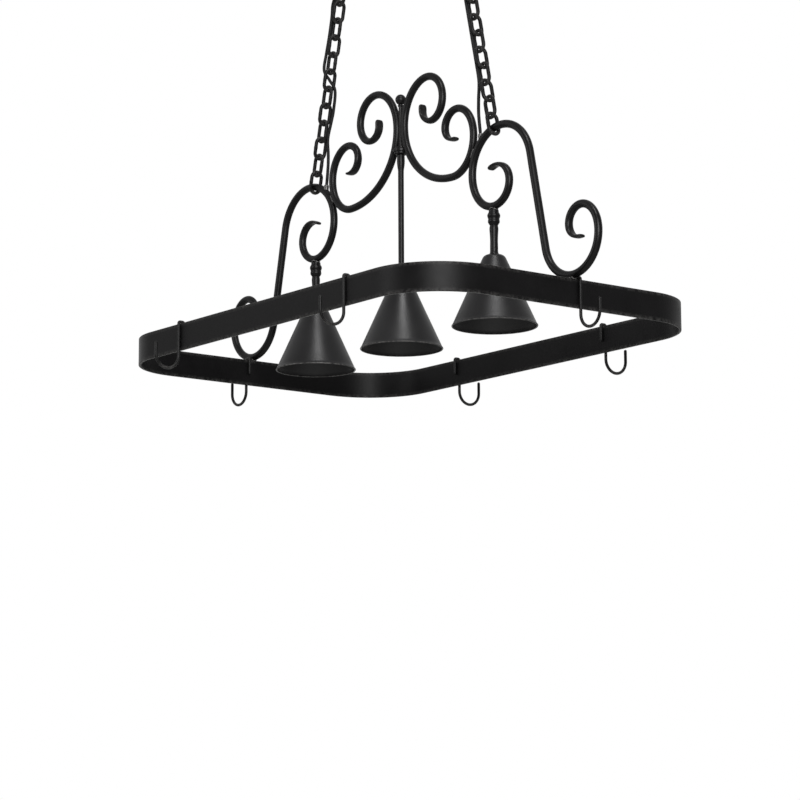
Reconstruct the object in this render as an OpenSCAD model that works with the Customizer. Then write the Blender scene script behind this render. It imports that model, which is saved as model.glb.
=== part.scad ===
// Hanging pot rack with three downlights: an oval-cornered flat-bar rim under a
// forged scroll arch, hung from the ceiling on two wire chains.
// +Z is up and the origin is on the ceiling, midway between the two canopies.
// X runs along the arch and the long sides of the rim.

/* [Rim] */
// Outer length of the rim along X
rim_l = 968; // [900:2:1040]
// Outer width of the rim along Y
rim_w = 650; // [600:2:710]
// Outer radius of the rim's corners
rim_corner_r = 133; // [110:1:160]
// Height of the flat bar of the rim
rim_bar_h = 50.8; // [38:0.1:64]
// Thickness of the flat bar of the rim
rim_bar_t = 4.9; // [4:0.1:7]

/* [Scroll bar] */
// Diameter of the round bar of the scrolls
bar_d = 14.3; // [12:0.1:14.8]
// Width of the forged scroll ends
tip_w = 18; // [15:0.5:21]
// Thickness of the forged scroll ends
tip_t = 5.2; // [3:0.1:8]
// Length over which a scroll end is drawn out
tip_l = 75; // [30:1:90]

/* [S-scroll] */
// Radii of the foot curl after 0, 90, 180 and all its degrees of turn
foot_curl_r = [69, 65, 33, 23];
// Turn of the last stretch of the foot curl
foot_curl_end = 180; // [120:1:190]
// Length of the straight tip of the foot curl
foot_tip_l = 10; // [4:0.5:16]
// Turn from the foot up into the straight leg
leg_turn = 78; // [70:0.5:86]
// Radius where the foot runs into the leg
leg_foot_r = 77; // [60:1:95]
// Length of the straight leg
leg_l = 184.2; // [150:0.1:220]
// Radii of the shoulder at the leg, at its top and at its inner side
shoulder_r = [86, 82, 76];
// Radii of the lamp loop at its bottom, at its outer side and at its end
lamp_loop_r = [50, 34, 34];
// Turn of the last stretch of the lamp loop
lamp_loop_end = 124; // [90:1:150]

/* [C-scroll] */
// Height of the C-scrolls' lowest point above the lamp loops', at the bar's centre
c_rise = 76.8; // [60:0.1:100]
// Distance between the two C-scrolls' bar centres where they come closest
c_pair_gap = 22.5; // [17:0.1:26]
// Radii of the low curl after 0, 90, 180 and 270 degrees of turn
low_curl_r = [52.4, 73, 36, 27];
// Radius and turn of the last stretch of the low curl
low_curl_end = [22, 112];
// Radii of the high curl after 0, 90, 180, 270 and 360 degrees of turn
high_curl_r = [170, 98.8, 48.5, 46, 27];
// Radius and turn of the last stretch of the high curl
high_curl_end = [22, 90];
// Length of the straight tip of the high curl
high_tip_l = 12; // [4:0.5:20]

/* [Hub and finial] */
// Radius of the centre hub
hub_r = 14.5; // [12:0.5:20]
// Height of the centre hub
hub_h = 14; // [10:0.5:20]
// How deep the C-scrolls' bars sit in the side of the hub
hub_grip = 0.7; // [0.5:0.1:3]
// Diameter of the finial's rod
finial_rod_d = 8; // [6:0.5:10]
// Diameter of the finial's ball
finial_ball_d = 20; // [12:0.5:24]
// Height of the ball's centre above the hub's lower face
finial_l = 106; // [80:1:120]

/* [Lamps] */
// Height of the shades' lower edge above the rim's lower edge
shade_z = 2; // [-10:1:30]
// Diameter of the shades' rim
shade_d = 152.4; // [130:0.2:170]
// Height of the shades
shade_h = 128; // [110:0.5:150]
// Radius of the cone where it meets the domed cap, were it drawn on to the top
shade_top_r = 18.2; // [14:0.1:22]
// Radius of the shoulder of the domed cap
shade_shoulder_r = 11; // [6:0.5:13]
// Wall of the shades
shade_wall = 1.0; // [0.8:0.1:1.4]
// Diameter of the wire rolled into the shades' rim
shade_bead_d = 2.6; // [2:0.1:4]
// Length of each lamp coupling
coupling_l = 28; // [24:0.5:34]
// Diameter of the centre stem's tube
centre_stem_d = 10.8; // [9.8:0.1:13]
// Length of the turned head of the centre stem
centre_head_l = 30; // [24:1:40]
// Outer diameter of the lampholders
lampholder_d = 38; // [34:0.5:42]
// Length of the lampholders
lampholder_l = 44; // [38:1:50]
// Inner diameter of the lampholders' screw shell
screw_shell_d = 26.6; // [26.2:0.1:27.4]

/* [Hooks] */
// Diameter of the hooks' wire
hook_d = 5.6; // [4:0.1:6.5]
// Width of the hooks' upturn between wire centres
hook_w = 49; // [40:1:56]
// Drop from the rim's lower edge to the underside of the hooks
hook_drop = 38; // [34:1:60]
// Length of the hooks' free leg above the bend
hook_free_l = 20; // [15:1:35]
// Length of the hooks' short leg behind the band
hook_short_l = 27; // [15:1:35]
// Place of the front left hook along X
front_left_hook_x = -247; // [-320:1:-60]
// Place of the front right hook along X
front_right_hook_x = 266; // [60:1:320]
// Place of the back left hook along X
back_left_hook_x = -240; // [-320:1:-60]
// Place of the back right hook along X
back_right_hook_x = 195; // [60:1:320]
// Place of the left end hook along Y
left_end_hook_y = -13; // [-60:1:-12]
// Place of the right end hook along Y
right_end_hook_y = 12; // [12:1:60]

/* [Chains] */
// Diameter of the links' wire
link_d = 7; // [5:0.1:7.4]
// Inner length of a link
link_l = 33.5; // [31:0.1:38]
// Inner width of a link
link_w = 15.2; // [14.9:0.1:18]
// Number of links in each chain
link_count = 12; // [8:2:20]
// Lean of the chains towards the middle, in degrees
chain_lean = 13; // [8:0.5:18]

/* [Ceiling fittings] */
// Diameter of the canopies
canopy_d = 127; // [115:1:140]
// Height of the canopies
canopy_h = 25; // [22:0.5:32]
// Wall of the canopies
canopy_wall = 1.2; // [1:0.1:2]
// Radius of the flat middle of the canopies
canopy_flat_r = 38; // [36:1:44]
// Distance between the screw holes of a ceiling strap
strap_pitch = 70; // [60:1:84]
// Diameter of the screw holes of a ceiling strap
strap_hole_d = 4.6; // [4:0.1:5.4]
// Width of a ceiling strap
strap_w = 20; // [16:1:24]
// Thickness of a ceiling strap
strap_t = 2.5; // [2:0.1:3.5]
// Outer diameter of the threaded nipples and stem ends
nipple_d = 9.5; // [9:0.1:9.6]
// Inner radius of the hanging loops
loop_r = 9; // [8:0.5:12]

/* [Power cords] */
// Diameter of the power cords
cord_d = 6; // [5:0.5:6.5]

/* [Hidden] */
$fn = 48;

steel = "#1c1b1d";
phenolic = "#141414";
brass = "#a98a4a";
zinc = "#8d8f92";
rubber = "#101010";

bar_r = bar_d / 2;
fit = 0.3;              // clearance of a moving piece
seat = 0.1;             // gap at a face that is welded or screwed up tight
link_gap = 0.2;         // slack between two links
pivot_play = 0.8;       // slack of the lowest link round the bar
nipple_r = nipple_d / 2;
nipple_hole_r = nipple_r + seat;

// ---- The line of a scroll: [x, z, heading] in degrees -------------------------

// A bend whose radius runs evenly from r0 to r1 over its turn, after a share f of it.
function bend(p, r0, r1, turn, f) =
    let (s = sign(turn), a = abs(turn) * f, b = (r1 - r0) * 180 / (abs(turn) * PI),
         r = r0 + (r1 - r0) * f, h = p[2])
    [p[0] + s * (r * sin(h + s * a) - r0 * sin(h)) + b * (cos(h + s * a) - cos(h)),
     p[1] - s * (r * cos(h + s * a) - r0 * cos(h)) + b * (sin(h + s * a) - sin(h)),
     h + s * a];

// A stretch is [r0, r1, turn], or [length, 0, 0] where the bar is straight.
function along(p, s, f) = s[2] == 0
    ? [p[0] + s[0] * f * cos(p[2]), p[1] + s[0] * f * sin(p[2]), p[2]]
    : bend(p, s[0], s[1], s[2], f);

function after(p, arm, n) = n == 0 ? p : along(after(p, arm, n - 1), arm[n - 1], 1);

// Half thickness and half width of the bar at a distance d from its drawn-out end.
function drawn(d) = let (t = max(0, 1 - d / tip_l), s = t * t * (3 - 2 * t),
                         e = max(0, 1 - d / (tip_w / 2)))
    [bar_r + (tip_t / 2 - bar_r) * s,
     (bar_r + (tip_w / 2 - bar_r) * s) * sqrt(1 - 0.8 * e * e)];

// Length of a stretch beyond its share f, and of all the stretches from number i on.
function left_over(s, f) = (1 - f) *
    (s[2] == 0 ? s[0] : abs(s[2]) * PI / 180 * (s[0] + (s[1] - s[0]) * (1 + f) / 2));
function from_on(arm, i) = i >= len(arm) ? 0 : left_over(arm[i], 0) + from_on(arm, i + 1);

ring_turn = 11.25;      // turn of the bar between two rings of points
bar_sides = 12;

// Rings of the bar over a stretch that ends at a distance rest from the bar's end.
function stretch_rings(p, s, rest) =
    let (n = s[2] == 0 ? 1 : ceil(abs(s[2]) / ring_turn), l = left_over(s, 0),
         fs = concat([for (k = [0 : n - 1]) k / n], rest > 0 ? [] : [for (d = [4.5, 1.5, 0]) 1 - d / l]))
    [for (f = fs) concat(along(p, s, f), drawn(rest + left_over(s, f)))];

function arm_rings(p, arm) = [for (i = [0 : len(arm) - 1])
    each stretch_rings(after(p, arm, i), arm[i], from_on(arm, i + 1))];

function flipped(r) = [for (i = [len(r) - 1 : -1 : 0]) [r[i][0], r[i][1], r[i][2] + 180, r[i][3], r[i][4]]];

function tail(v) = [for (i = [1 : len(v) - 1]) v[i]];

// Triangles of a tube of n rings with m points each, closed at both ends.
function tube_faces(n, m) = concat(
    [for (i = [0 : n - 2], j = [0 : m - 1]) let (k = (j + 1) % m)
        each [[i * m + j, i * m + k, (i + 1) * m + k], [i * m + j, (i + 1) * m + k, (i + 1) * m + j]]],
    [for (j = [1 : m - 2]) [0, j + 1, j]],
    [for (j = [1 : m - 2]) let (o = (n - 1) * m) [o, o + j, o + j + 1]]);

// A round bar along two arms that leave the same point in opposite directions.
module scroll_bar(start, arm_a, arm_b) {
    rings = concat(flipped(arm_rings([start[0], start[1], 0], arm_a)),
                   tail(arm_rings([start[0], start[1], 180], arm_b)));
    points = [for (r = rings, j = [0 : bar_sides - 1]) let (u = 360 * j / bar_sides)
        [r[0] - sin(r[2]) * r[3] * cos(u), r[4] * sin(u), r[1] + cos(r[2]) * r[3] * cos(u)]];
    polyhedron(points, tube_faces(len(rings), bar_sides), convexity = 10);
}

// ---- The S-scroll --------------------------------------------------------------

foot = [rim_l / 2 - rim_bar_t / 2, rim_bar_h + bar_r + seat];
foot_curl = [[foot_curl_r[0], foot_curl_r[1], 90], [foot_curl_r[1], foot_curl_r[2], 90],
             [foot_curl_r[2], foot_curl_r[3], foot_curl_end], [foot_tip_l, 0, 0]];
s_arm = [[foot_curl_r[0], leg_foot_r, -leg_turn], [leg_l, 0, 0],
         [shoulder_r[0], shoulder_r[1], leg_turn], [shoulder_r[1], shoulder_r[2], 90],
         [shoulder_r[2], lamp_loop_r[0], 90], [lamp_loop_r[0], lamp_loop_r[1], 90],
         [lamp_loop_r[1], lamp_loop_r[2], lamp_loop_end]];
s_start = [foot[0], foot[1], 180];
shoulder_count = 3;     // stretches of s_arm up to the top of the shoulder
loop_count = 5;         // stretches of s_arm down to the bottom of the lamp loop
lamp_seat = after(s_start, s_arm, loop_count);
lamp_x = lamp_seat[0];

// Point of the shoulder where the bar has turned t degrees past its top.
function on_shoulder(t) = along(after(s_start, s_arm, shoulder_count), s_arm[shoulder_count], t / 90);

// ---- The C-scrolls, which fill the room between the S-scrolls -------------------

low_arm = [[low_curl_r[0], low_curl_r[1], 90], [low_curl_r[1], low_curl_r[2], 90],
           [low_curl_r[2], low_curl_r[3], 90], [low_curl_r[3], low_curl_end[0], low_curl_end[1]]];
high_arm = [[high_curl_r[0], high_curl_r[1], -90], [high_curl_r[1], high_curl_r[2], -90],
            [high_curl_r[2], high_curl_r[3], -90], [high_curl_r[3], high_curl_r[4], -90],
            [high_curl_r[4], high_curl_end[0], -high_curl_end[1]], [high_tip_l, 0, 0]];
high_reach = -after([0, 0, 180], high_arm, 1)[0];

function line_of(p, s, step) = let (n = ceil(abs(s[2]) / step)) [for (k = [0 : n]) along(p, s, k / n)];
s_side = line_of(after(s_start, s_arm, shoulder_count), s_arm[shoulder_count], 1.5);
low_side = concat(line_of([0, 0, 0], low_arm[0], 1.5), line_of(after([0, 0, 0], low_arm, 1), low_arm[1], 1.5));
c_low_z = lamp_seat[1] + c_rise;

// Where a C-scroll whose radii are k times the ones above has its low point, and
// the least distance there between its bar's centre line and the S-scroll's.
function c_place(k) = c_pair_gap / 2 + k * high_reach;
function bars_apart(k) = let (x = c_place(k)) min([for (p = s_side, q = low_side)
    norm([p[0] - k * q[0] - x, p[1] - k * q[1] - c_low_z])]);
function set_against(lo, hi, n) = n == 0 ? lo : let (m = (lo + hi) / 2)
    bars_apart(m) > bar_d + seat ? set_against(m, hi, n - 1) : set_against(lo, m, n - 1);
c_growth = set_against(0.6, 1.5, 16);
c_x = c_place(c_growth);
c_start = [c_x, c_low_z];

function grown(arm) = [for (s = arm) s[2] == 0 ? s : [s[0] * c_growth, s[1] * c_growth, s[2]]];
c_arm_low = grown(low_arm);
c_arm_high = grown(high_arm);
c_nearest = c_pair_gap / 2;

// The C-scroll's bar at a distance x from the middle, on its long inner side: [x, z, heading].
function c_inner(x, lo = 0, hi = 1, n = 16) = let (m = (lo + hi) / 2,
        p = along([c_x, c_low_z, 180], c_arm_high[0], m))
    n == 0 ? p : p[0] > x ? c_inner(x, m, hi, n - 1) : c_inner(x, lo, m, n - 1);
hub_bar = c_inner(hub_r - hub_grip + bar_r + seat);
hub_z = hub_bar[1] - hub_h / 2;
finial_ball_z = hub_z + finial_l;

// ---- Heights above the rim's lower edge ------------------------------------------

chain_foot = on_shoulder(chain_lean);
link_pitch = link_l - link_gap;
first_link_s = -(bar_r + pivot_play);
function link_s(k) = first_link_s + k * link_pitch;     // inner lower end of link k
function beside(s, u, y) = [chain_foot[0] - s * sin(chain_lean) + u * cos(chain_lean), y,
                            chain_foot[1] + s * cos(chain_lean) + u * sin(chain_lean)];
top_wire = beside(link_s(link_count - 1) + link_l + link_d / 2, 0, 0);
loop_wire = beside(link_s(link_count - 1) + link_l - link_d / 2 - link_gap, 0, 0);
loop_ring_r = loop_r + link_d / 2;
loop_z = loop_wire[2] + loop_ring_r;
collar_z = loop_z + loop_ring_r - 1;
collar_h = 13;
collar_r = 11;
canopy_x = loop_wire[0];
ceiling = collar_z + collar_h + seat + canopy_h;

shade_top = shade_z + shade_h;
coupling_top = lamp_seat[1] - bar_r - seat;
coupling_z = coupling_top - coupling_l;

module hung() { translate([0, 0, -ceiling]) children(); }
module on_left() { mirror([1, 0, 0]) children(); }

// ---- Rim -------------------------------------------------------------------------

module rounded_rect(l, w, r) {
    square([l - 2 * r, w], center = true);
    square([l, w - 2 * r], center = true);
    for (x = [-1, 1], y = [-1, 1]) translate([x * (l / 2 - r), y * (w / 2 - r)]) circle(r);
}

module rim_band() color(steel) hung() linear_extrude(rim_bar_h) difference() {
    rounded_rect(rim_l, rim_w, rim_corner_r);
    rounded_rect(rim_l - 2 * rim_bar_t, rim_w - 2 * rim_bar_t, rim_corner_r - rim_bar_t);
}

// ---- Arch ------------------------------------------------------------------------

module s_scroll() color(steel) hung() scroll_bar(foot, foot_curl, s_arm);
module c_scroll() color(steel) hung() scroll_bar(c_start, c_arm_low, c_arm_high);

// Room for the two C-scrolls where they are welded to the hub.
module c_bar_room() {
    for (side = [0, 1]) mirror([side, 0, 0])
        translate([hub_bar[0], 0, hub_bar[1]]) rotate([0, 90 - hub_bar[2], 0])
            cylinder(r = bar_r + seat, h = 90, center = true);
}

module centre_hub() color(steel) hung() difference() {
    translate([0, 0, hub_z]) rotate_extrude() polygon([
        [nipple_hole_r, 0], [hub_r - 4, 0], [hub_r - 2, 1.5], [hub_r - 2, 4], [hub_r, 5.5],
        [hub_r, hub_h - 4], [hub_r - 1.5, hub_h - 2.5], [hub_r - 3, hub_h - 2],
        [hub_r - 4, hub_h], [nipple_hole_r, hub_h]]);
    c_bar_room();
}

// The rod stands between the two bars, or in the groove in front where they leave no room.
finial_room = finial_rod_d / 2 + bar_r + seat;
finial_y = -sqrt(max(0, finial_room * finial_room - c_nearest * c_nearest));
module centre_finial() color(steel) hung() translate([0, finial_y, 0]) {
    rod_z = hub_z + hub_h + seat;
    ball_r = finial_ball_d / 2;
    rotate_extrude() polygon([
        [0, rod_z], [finial_rod_d / 2, rod_z], [finial_rod_d / 2, finial_ball_z - ball_r - 4],
        [finial_rod_d / 2 + 1.6, finial_ball_z - ball_r - 2.5],
        [finial_rod_d / 2 + 1.6, finial_ball_z - ball_r - 1],
        [finial_rod_d / 2 - 0.6, finial_ball_z - ball_r + 1], [0, finial_ball_z - ball_r + 1]]);
    translate([0, 0, finial_ball_z]) sphere(ball_r);
}

// ---- Lamp stems ------------------------------------------------------------------

nut_h = 5;
nut_af = 17;
stem_end_l = nut_h + shade_wall + 8;

// Threaded end of a stem, through the shade, its nut and the lampholder's cap.
module stem_end() translate([0, 0, shade_top - stem_end_l]) cylinder(r = nipple_r, h = stem_end_l + 1);

module centre_stem() color(steel) hung() {
    r = centre_stem_d / 2;
    head = function(dr, f) [r + dr, hub_z - centre_head_l * f];
    rotate_extrude() polygon([
        [0, shade_top + seat], [r + 2.6, shade_top + seat], [r + 2.6, shade_top + 2],
        [r, shade_top + 7], head(0, 1.05), head(0.3, 0.96), head(0.9, 0.83), head(1.5, 0.68),
        head(1.9, 0.52), head(2, 0.38), head(1.8, 0.2), [r + 1.7, hub_z - seat], [0, hub_z - seat]]);
    translate([0, 0, hub_z - 1]) cylinder(r = nipple_r, h = hub_h - 2);
    stem_end();
}

// Turned outline of a coupling: [radius, share of its length].
coupling_turning = [[7.4, 0], [8.6, 0.065], [9.8, 0.13], [10.6, 0.19], [10.7, 0.26], [10.3, 0.335],
    [10.1, 0.4], [10.5, 0.465], [11.3, 0.535], [11.7, 0.605], [11.5, 0.68], [10.6, 0.75],
    [9.4, 0.82], [9, 0.89], [9, 0.95], [8.6, 1]];
module coupling() color(steel) hung() translate([lamp_x, 0, coupling_z]) difference() {
    rotate_extrude() polygon(concat([[0, 0]], [for (p = coupling_turning) [p[0], p[1] * coupling_l]],
        [[0, coupling_l]]));
    translate([0, 0, -1]) cylinder(r = nipple_hole_r, h = 13);
}

// Turned outline of a lamp stem above its foot.
stem_turning = [[7.2, 0.12], [7.2, 0.3], [7, 0.45], [7.2, 0.6], [7.5, 0.7], [7.9, 0.8], [8.1, 0.87],
    [7.9, 0.93], [7.4, 0.98], [7.3, 1]];
module lamp_stem() color(steel) hung() translate([lamp_x, 0, 0]) {
    z0 = shade_top + seat;
    l = coupling_z - seat - z0;
    rotate_extrude() polygon(concat([[0, z0], [9, z0], [9, z0 + 1.2], [7.6, z0 + 3.5]],
        [for (p = stem_turning) [p[0], z0 + p[1] * l]], [[0, z0 + l]]));
    translate([0, 0, coupling_z - 1]) cylinder(r = nipple_r, h = 11);
    stem_end();
}

// ---- Shades, nuts and lampholders --------------------------------------------------

shade_r = shade_d / 2;
cone_slope = (shade_r - shade_top_r) / shade_h;
// Outline of a shade's outer side from the flat top to the rim, drawn in by a wall w.
function shade_side(w) = let (
        n = norm([1, cone_slope]), rho = shade_shoulder_r - w,
        cz = shade_h - shade_shoulder_r,
        cr = shade_top_r + cone_slope * shade_shoulder_r - shade_shoulder_r * n,
        full = atan2(1, cone_slope))
    concat([for (k = [0 : 6]) let (a = full * k / 6) [cr + rho * sin(a), cz + rho * cos(a)]],
           [[shade_r - w * n, 0]]);

module shade(x) color(steel) hung() translate([x, 0, shade_z]) {
    outer = shade_side(0);
    inner = shade_side(shade_wall);
    rotate_extrude($fn = 96) polygon(concat(
        [[nipple_hole_r, shade_h]], outer,
        [for (i = [len(inner) - 1 : -1 : 0]) inner[i]], [[nipple_hole_r, shade_h - shade_wall]]));
    rotate_extrude($fn = 96) translate([shade_r - shade_bead_d / 2 + 0.6, 0]) circle(shade_bead_d / 2, $fn = 24);
}

nut_z = shade_top - shade_wall - seat - nut_h;
module shade_nut(x) color(zinc) hung() translate([x, 0, nut_z]) difference() {
    cylinder(d = nut_af / cos(30), h = nut_h, $fn = 6);
    translate([0, 0, -1]) cylinder(r = nipple_hole_r, h = nut_h + 2);
}

holder_z = nut_z - seat - lampholder_l;
holder_r = lampholder_d / 2;
shell_wall = 0.5;
shell_r = screw_shell_d / 2;
shell_depth = lampholder_l - 15;
module lampholder(x) color(phenolic) hung() translate([x, 0, holder_z]) rotate_extrude() polygon([
    [shell_r + shell_wall + seat, 0], [holder_r - 1, 0], [holder_r, 1], [holder_r, 18],
    [holder_r - 1, 19], [holder_r - 1, 21], [holder_r, 22], [holder_r, lampholder_l - 12],
    [holder_r - 3, lampholder_l - 6], [10, lampholder_l], [nipple_hole_r, lampholder_l],
    [nipple_hole_r, lampholder_l - 10], [5, lampholder_l - 10], [5, shell_depth + 1.5],
    [shell_r + shell_wall + seat, shell_depth + 1.5]]);

module screw_shell(x) color(brass) hung() translate([x, 0, holder_z]) rotate_extrude() polygon([
    [shell_r, 1.5], [shell_r + shell_wall, 1.5], [shell_r + shell_wall, shell_depth + 1.2],
    [6, shell_depth + 1.2], [6, shell_depth + 1.2 - shell_wall],
    [shell_r, shell_depth + 1.2 - shell_wall]]);

// ---- Hooks -------------------------------------------------------------------------

hook_r = hook_d / 2;
crown_r = rim_bar_t / 2 + fit + hook_r;
crown_bend_r = hook_r + fit;
crown_z = rim_bar_h + seat - fit;   // height of the crown's two bends' centres
bend_r = hook_w / 2;
bend_z = -hook_drop + hook_r + bend_r;

module ring_part(r, wire_r, turn) rotate([90, 0, 0]) rotate_extrude(angle = turn)
    translate([r, 0]) circle(wire_r);
module half_ring(r, wire_r) ring_part(r, wire_r, 180);

// A hook on a band that runs along Y at x = 0, with its upturn towards +X.
module hook() {
    translate([-crown_r, 0, crown_z - hook_short_l]) cylinder(r = hook_r, h = hook_short_l);
    translate([-crown_r, 0, crown_z - hook_short_l]) sphere(hook_r);
    for (side = [0, 1]) mirror([side, 0, 0])
        translate([crown_r - crown_bend_r, 0, crown_z]) ring_part(crown_bend_r, hook_r, 90);
    translate([crown_bend_r - crown_r, 0, crown_z + crown_bend_r]) rotate([0, 90, 0])
        cylinder(r = hook_r, h = 2 * (crown_r - crown_bend_r));
    translate([crown_r, 0, bend_z]) cylinder(r = hook_r, h = crown_z - bend_z);
    translate([crown_r + bend_r, 0, bend_z]) mirror([0, 0, 1]) half_ring(bend_r, hook_r);
    translate([crown_r + hook_w, 0, bend_z]) cylinder(r = hook_r, h = hook_free_l);
    translate([crown_r + hook_w, 0, bend_z + hook_free_l]) sphere(hook_r);
}

side_y = rim_w / 2 - rim_bar_t / 2;
end_x = rim_l / 2 - rim_bar_t / 2;
module front_hook(x) color(steel) hung() translate([x, -side_y, 0]) rotate([0, 0, -90]) hook();
module back_hook(x) color(steel) hung() translate([x, side_y, 0]) rotate([0, 0, 90]) hook();
module left_end_hook() color(steel) hung() translate([-end_x, left_end_hook_y, 0]) rotate([0, 0, 180]) hook();
module right_end_hook() color(steel) hung() translate([end_x, right_end_hook_y, 0]) hook();

// ---- Chains ------------------------------------------------------------------------

link_r = (link_w + link_d) / 2;
link_half = (link_l - link_w) / 2;
module link() {
    for (side = [-1, 1]) translate([side * link_r, 0, -link_half]) cylinder(r = link_d / 2, h = 2 * link_half);
    translate([0, 0, link_half]) half_ring(link_r, link_d / 2);
    translate([0, 0, -link_half]) mirror([0, 0, 1]) half_ring(link_r, link_d / 2);
}

// Link k, counted from the bar: every other link is turned a quarter.
module chain_link(k) translate([chain_foot[0], 0, chain_foot[1]]) rotate([0, -chain_lean, 0])
    translate([0, 0, link_s(k) + link_l / 2]) rotate([0, 0, k % 2 == 0 ? 90 : 0]) link();

module chain() color(steel) hung() for (k = [0 : link_count - 2]) chain_link(k);
module top_link() color(steel) hung() chain_link(link_count - 1);

// ---- Ceiling fittings ----------------------------------------------------------------

module collar_loop() color(steel) hung() translate([canopy_x, 0, 0]) {
    translate([0, 0, loop_z]) rotate([0, 90, 0]) rotate_extrude() translate([loop_ring_r, 0]) circle(link_d / 2);
    translate([0, 0, collar_z]) difference() {
        rotate_extrude() polygon([[0, 0], [5.2, 0], [collar_r - 3, 2.5], [collar_r, 5],
            [collar_r, collar_h - 1], [collar_r - 1, collar_h], [0, collar_h]]);
        translate([0, 0, 4]) cylinder(r = nipple_hole_r, h = collar_h);
    }
}

bushing_x = -25;        // cord hole of the canopy, from its middle towards the rack's centre
bushing_y = -7;
bushing_neck_r = cord_d / 2 + fit + 1.4;
cord_hole_r = cord_d / 2 + fit;

module canopy() color(steel) hung() translate([canopy_x, 0, ceiling]) difference() {
    run = canopy_d / 2 - canopy_flat_r;
    rotate_extrude($fn = 96) polygon(concat(
        [[nipple_hole_r, -canopy_h]],
        [for (k = [0 : 8]) let (a = 90 * k / 8) [canopy_flat_r + run * sin(a), -canopy_h * cos(a)]],
        [for (k = [8 : -1 : 0]) let (a = 90 * k / 8)
            [canopy_flat_r + (run - canopy_wall) * sin(a), -(canopy_h - canopy_wall) * cos(a)]],
        [[nipple_hole_r, canopy_wall - canopy_h]]));
    translate([bushing_x, bushing_y, -canopy_h - 1]) cylinder(r = bushing_neck_r + seat, h = 5);
}

module canopy_bushing() color(rubber) hung()
    translate([canopy_x + bushing_x, bushing_y, ceiling - canopy_h]) rotate_extrude() polygon([
        [cord_hole_r, -4], [bushing_neck_r + 0.6, -4], [bushing_neck_r + 2.4, -seat],
        [bushing_neck_r, -seat], [bushing_neck_r, canopy_wall + seat],
        [bushing_neck_r + 1.6, canopy_wall + seat], [bushing_neck_r + 1, canopy_wall + 2.4],
        [cord_hole_r, canopy_wall + 2.4]]);

strap_half = strap_pitch / 2 + 12;
module ceiling_strap() color(zinc) hung() translate([canopy_x, 0, ceiling - strap_t]) difference() {
    linear_extrude(strap_t) {
        square([strap_w, 2 * strap_half - strap_w], center = true);
        for (side = [-1, 1]) translate([0, side * (strap_half - strap_w / 2)]) circle(strap_w / 2);
    }
    for (side = [-1, 1]) translate([0, side * strap_pitch / 2, -1]) cylinder(d = strap_hole_d, h = strap_t + 2);
    translate([0, 0, -1]) cylinder(r = nipple_hole_r, h = strap_t + 2);
}

nipple_bottom = collar_z + 4.5;
nipple_top = ceiling - 0.3;
module nipple() color(zinc) hung() translate([canopy_x, 0, nipple_bottom]) difference() {
    cylinder(r = nipple_r, h = nipple_top - nipple_bottom);
    translate([0, 0, -1]) cylinder(r = nipple_r - 1.4, h = nipple_top - nipple_bottom + 2);
}

lock_nut_h = 3.5;
module lock_nut() color(zinc) hung()
    translate([canopy_x, 0, ceiling - strap_t - seat - lock_nut_h]) difference() {
        cylinder(d = nut_af / cos(30), h = lock_nut_h, $fn = 6);
        translate([0, 0, -1]) cylinder(r = nipple_hole_r, h = lock_nut_h + 2);
    }

// ---- Power cords -----------------------------------------------------------------------

// Where the cord enters the bar, as degrees of turn past the shoulder's top, and
// the way it leaves there.
entry_turn = 41;
entry_lean = 100;
entry = on_shoulder(entry_turn);
entry_dir = [cos(entry_lean), 0, sin(entry_lean)];
entry_axis = [entry[0], 0, entry[1]];

module cord_bushing() color(rubber) hung() translate(entry_axis) difference() {
    rotate([0, 90 - entry_lean, 0]) rotate_extrude() polygon([
        [cord_hole_r, 3], [bushing_neck_r + 0.4, 3], [bushing_neck_r + 0.4, 11.5],
        [bushing_neck_r - 0.4, 14.5], [cord_hole_r, 14.5]]);
    rotate([0, 90 - entry[2], 0]) cylinder(r = bar_r + seat, h = 60, center = true);
}

// Routes as [distance up the chain, distance outwards, y], from the bar to the canopy.
right_route = [[42, -32, -1], [66, -20, -6], [96, -9, -8], [130, -8, -8], [170, -8, -8],
               [210, -8, -8], [250, -8, -8], [290, -8, -8], [325, -8, -8], [358, -10, -8.5],
               [385, -16, -8]];
left_route = [[42, -32, 1], [66, -20, 6], [96, -9, 8], [130, -9.2, 10.7], [152, -9.3, 12.1],
              [190, -8.9, 9.7], [208.6, 0, 0], [226.8, 10, -8.9], [260, 13, -6.8], [291, 8.5, -8.6],
              [330.4, 9.9, -7.6], [355, 8.9, -9.9], [373.2, 0.3, -10.3], [389, -14.6, -7.8]];
function route_points(route) = concat(
    [entry_axis + 9.5 * entry_dir, entry_axis + 18 * entry_dir],
    [for (p = route) beside(p[0], p[1], p[2])],
    [[canopy_x + bushing_x, bushing_y, ceiling - canopy_h - 20],
     [canopy_x + bushing_x, bushing_y, ceiling - canopy_h],
     [canopy_x + bushing_x, bushing_y, ceiling - 10]]);

// Smooth curve through the points p, cut into n pieces between each two.
function through(p, n) = let (m = len(p) - 1, at = function(i) p[max(0, min(m, i))])
    [for (i = [0 : m - 1], k = [0 : n - (i == m - 1 ? 0 : 1)]) let (t = k / n,
        a = at(i - 1), b = at(i), c = at(i + 1), d = at(i + 2))
        b + t * ((c - a) / 2 + t * (a - 2.5 * b + 2 * c - d / 2 + t * (1.5 * (b - c) + (d - a) / 2)))];

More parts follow.
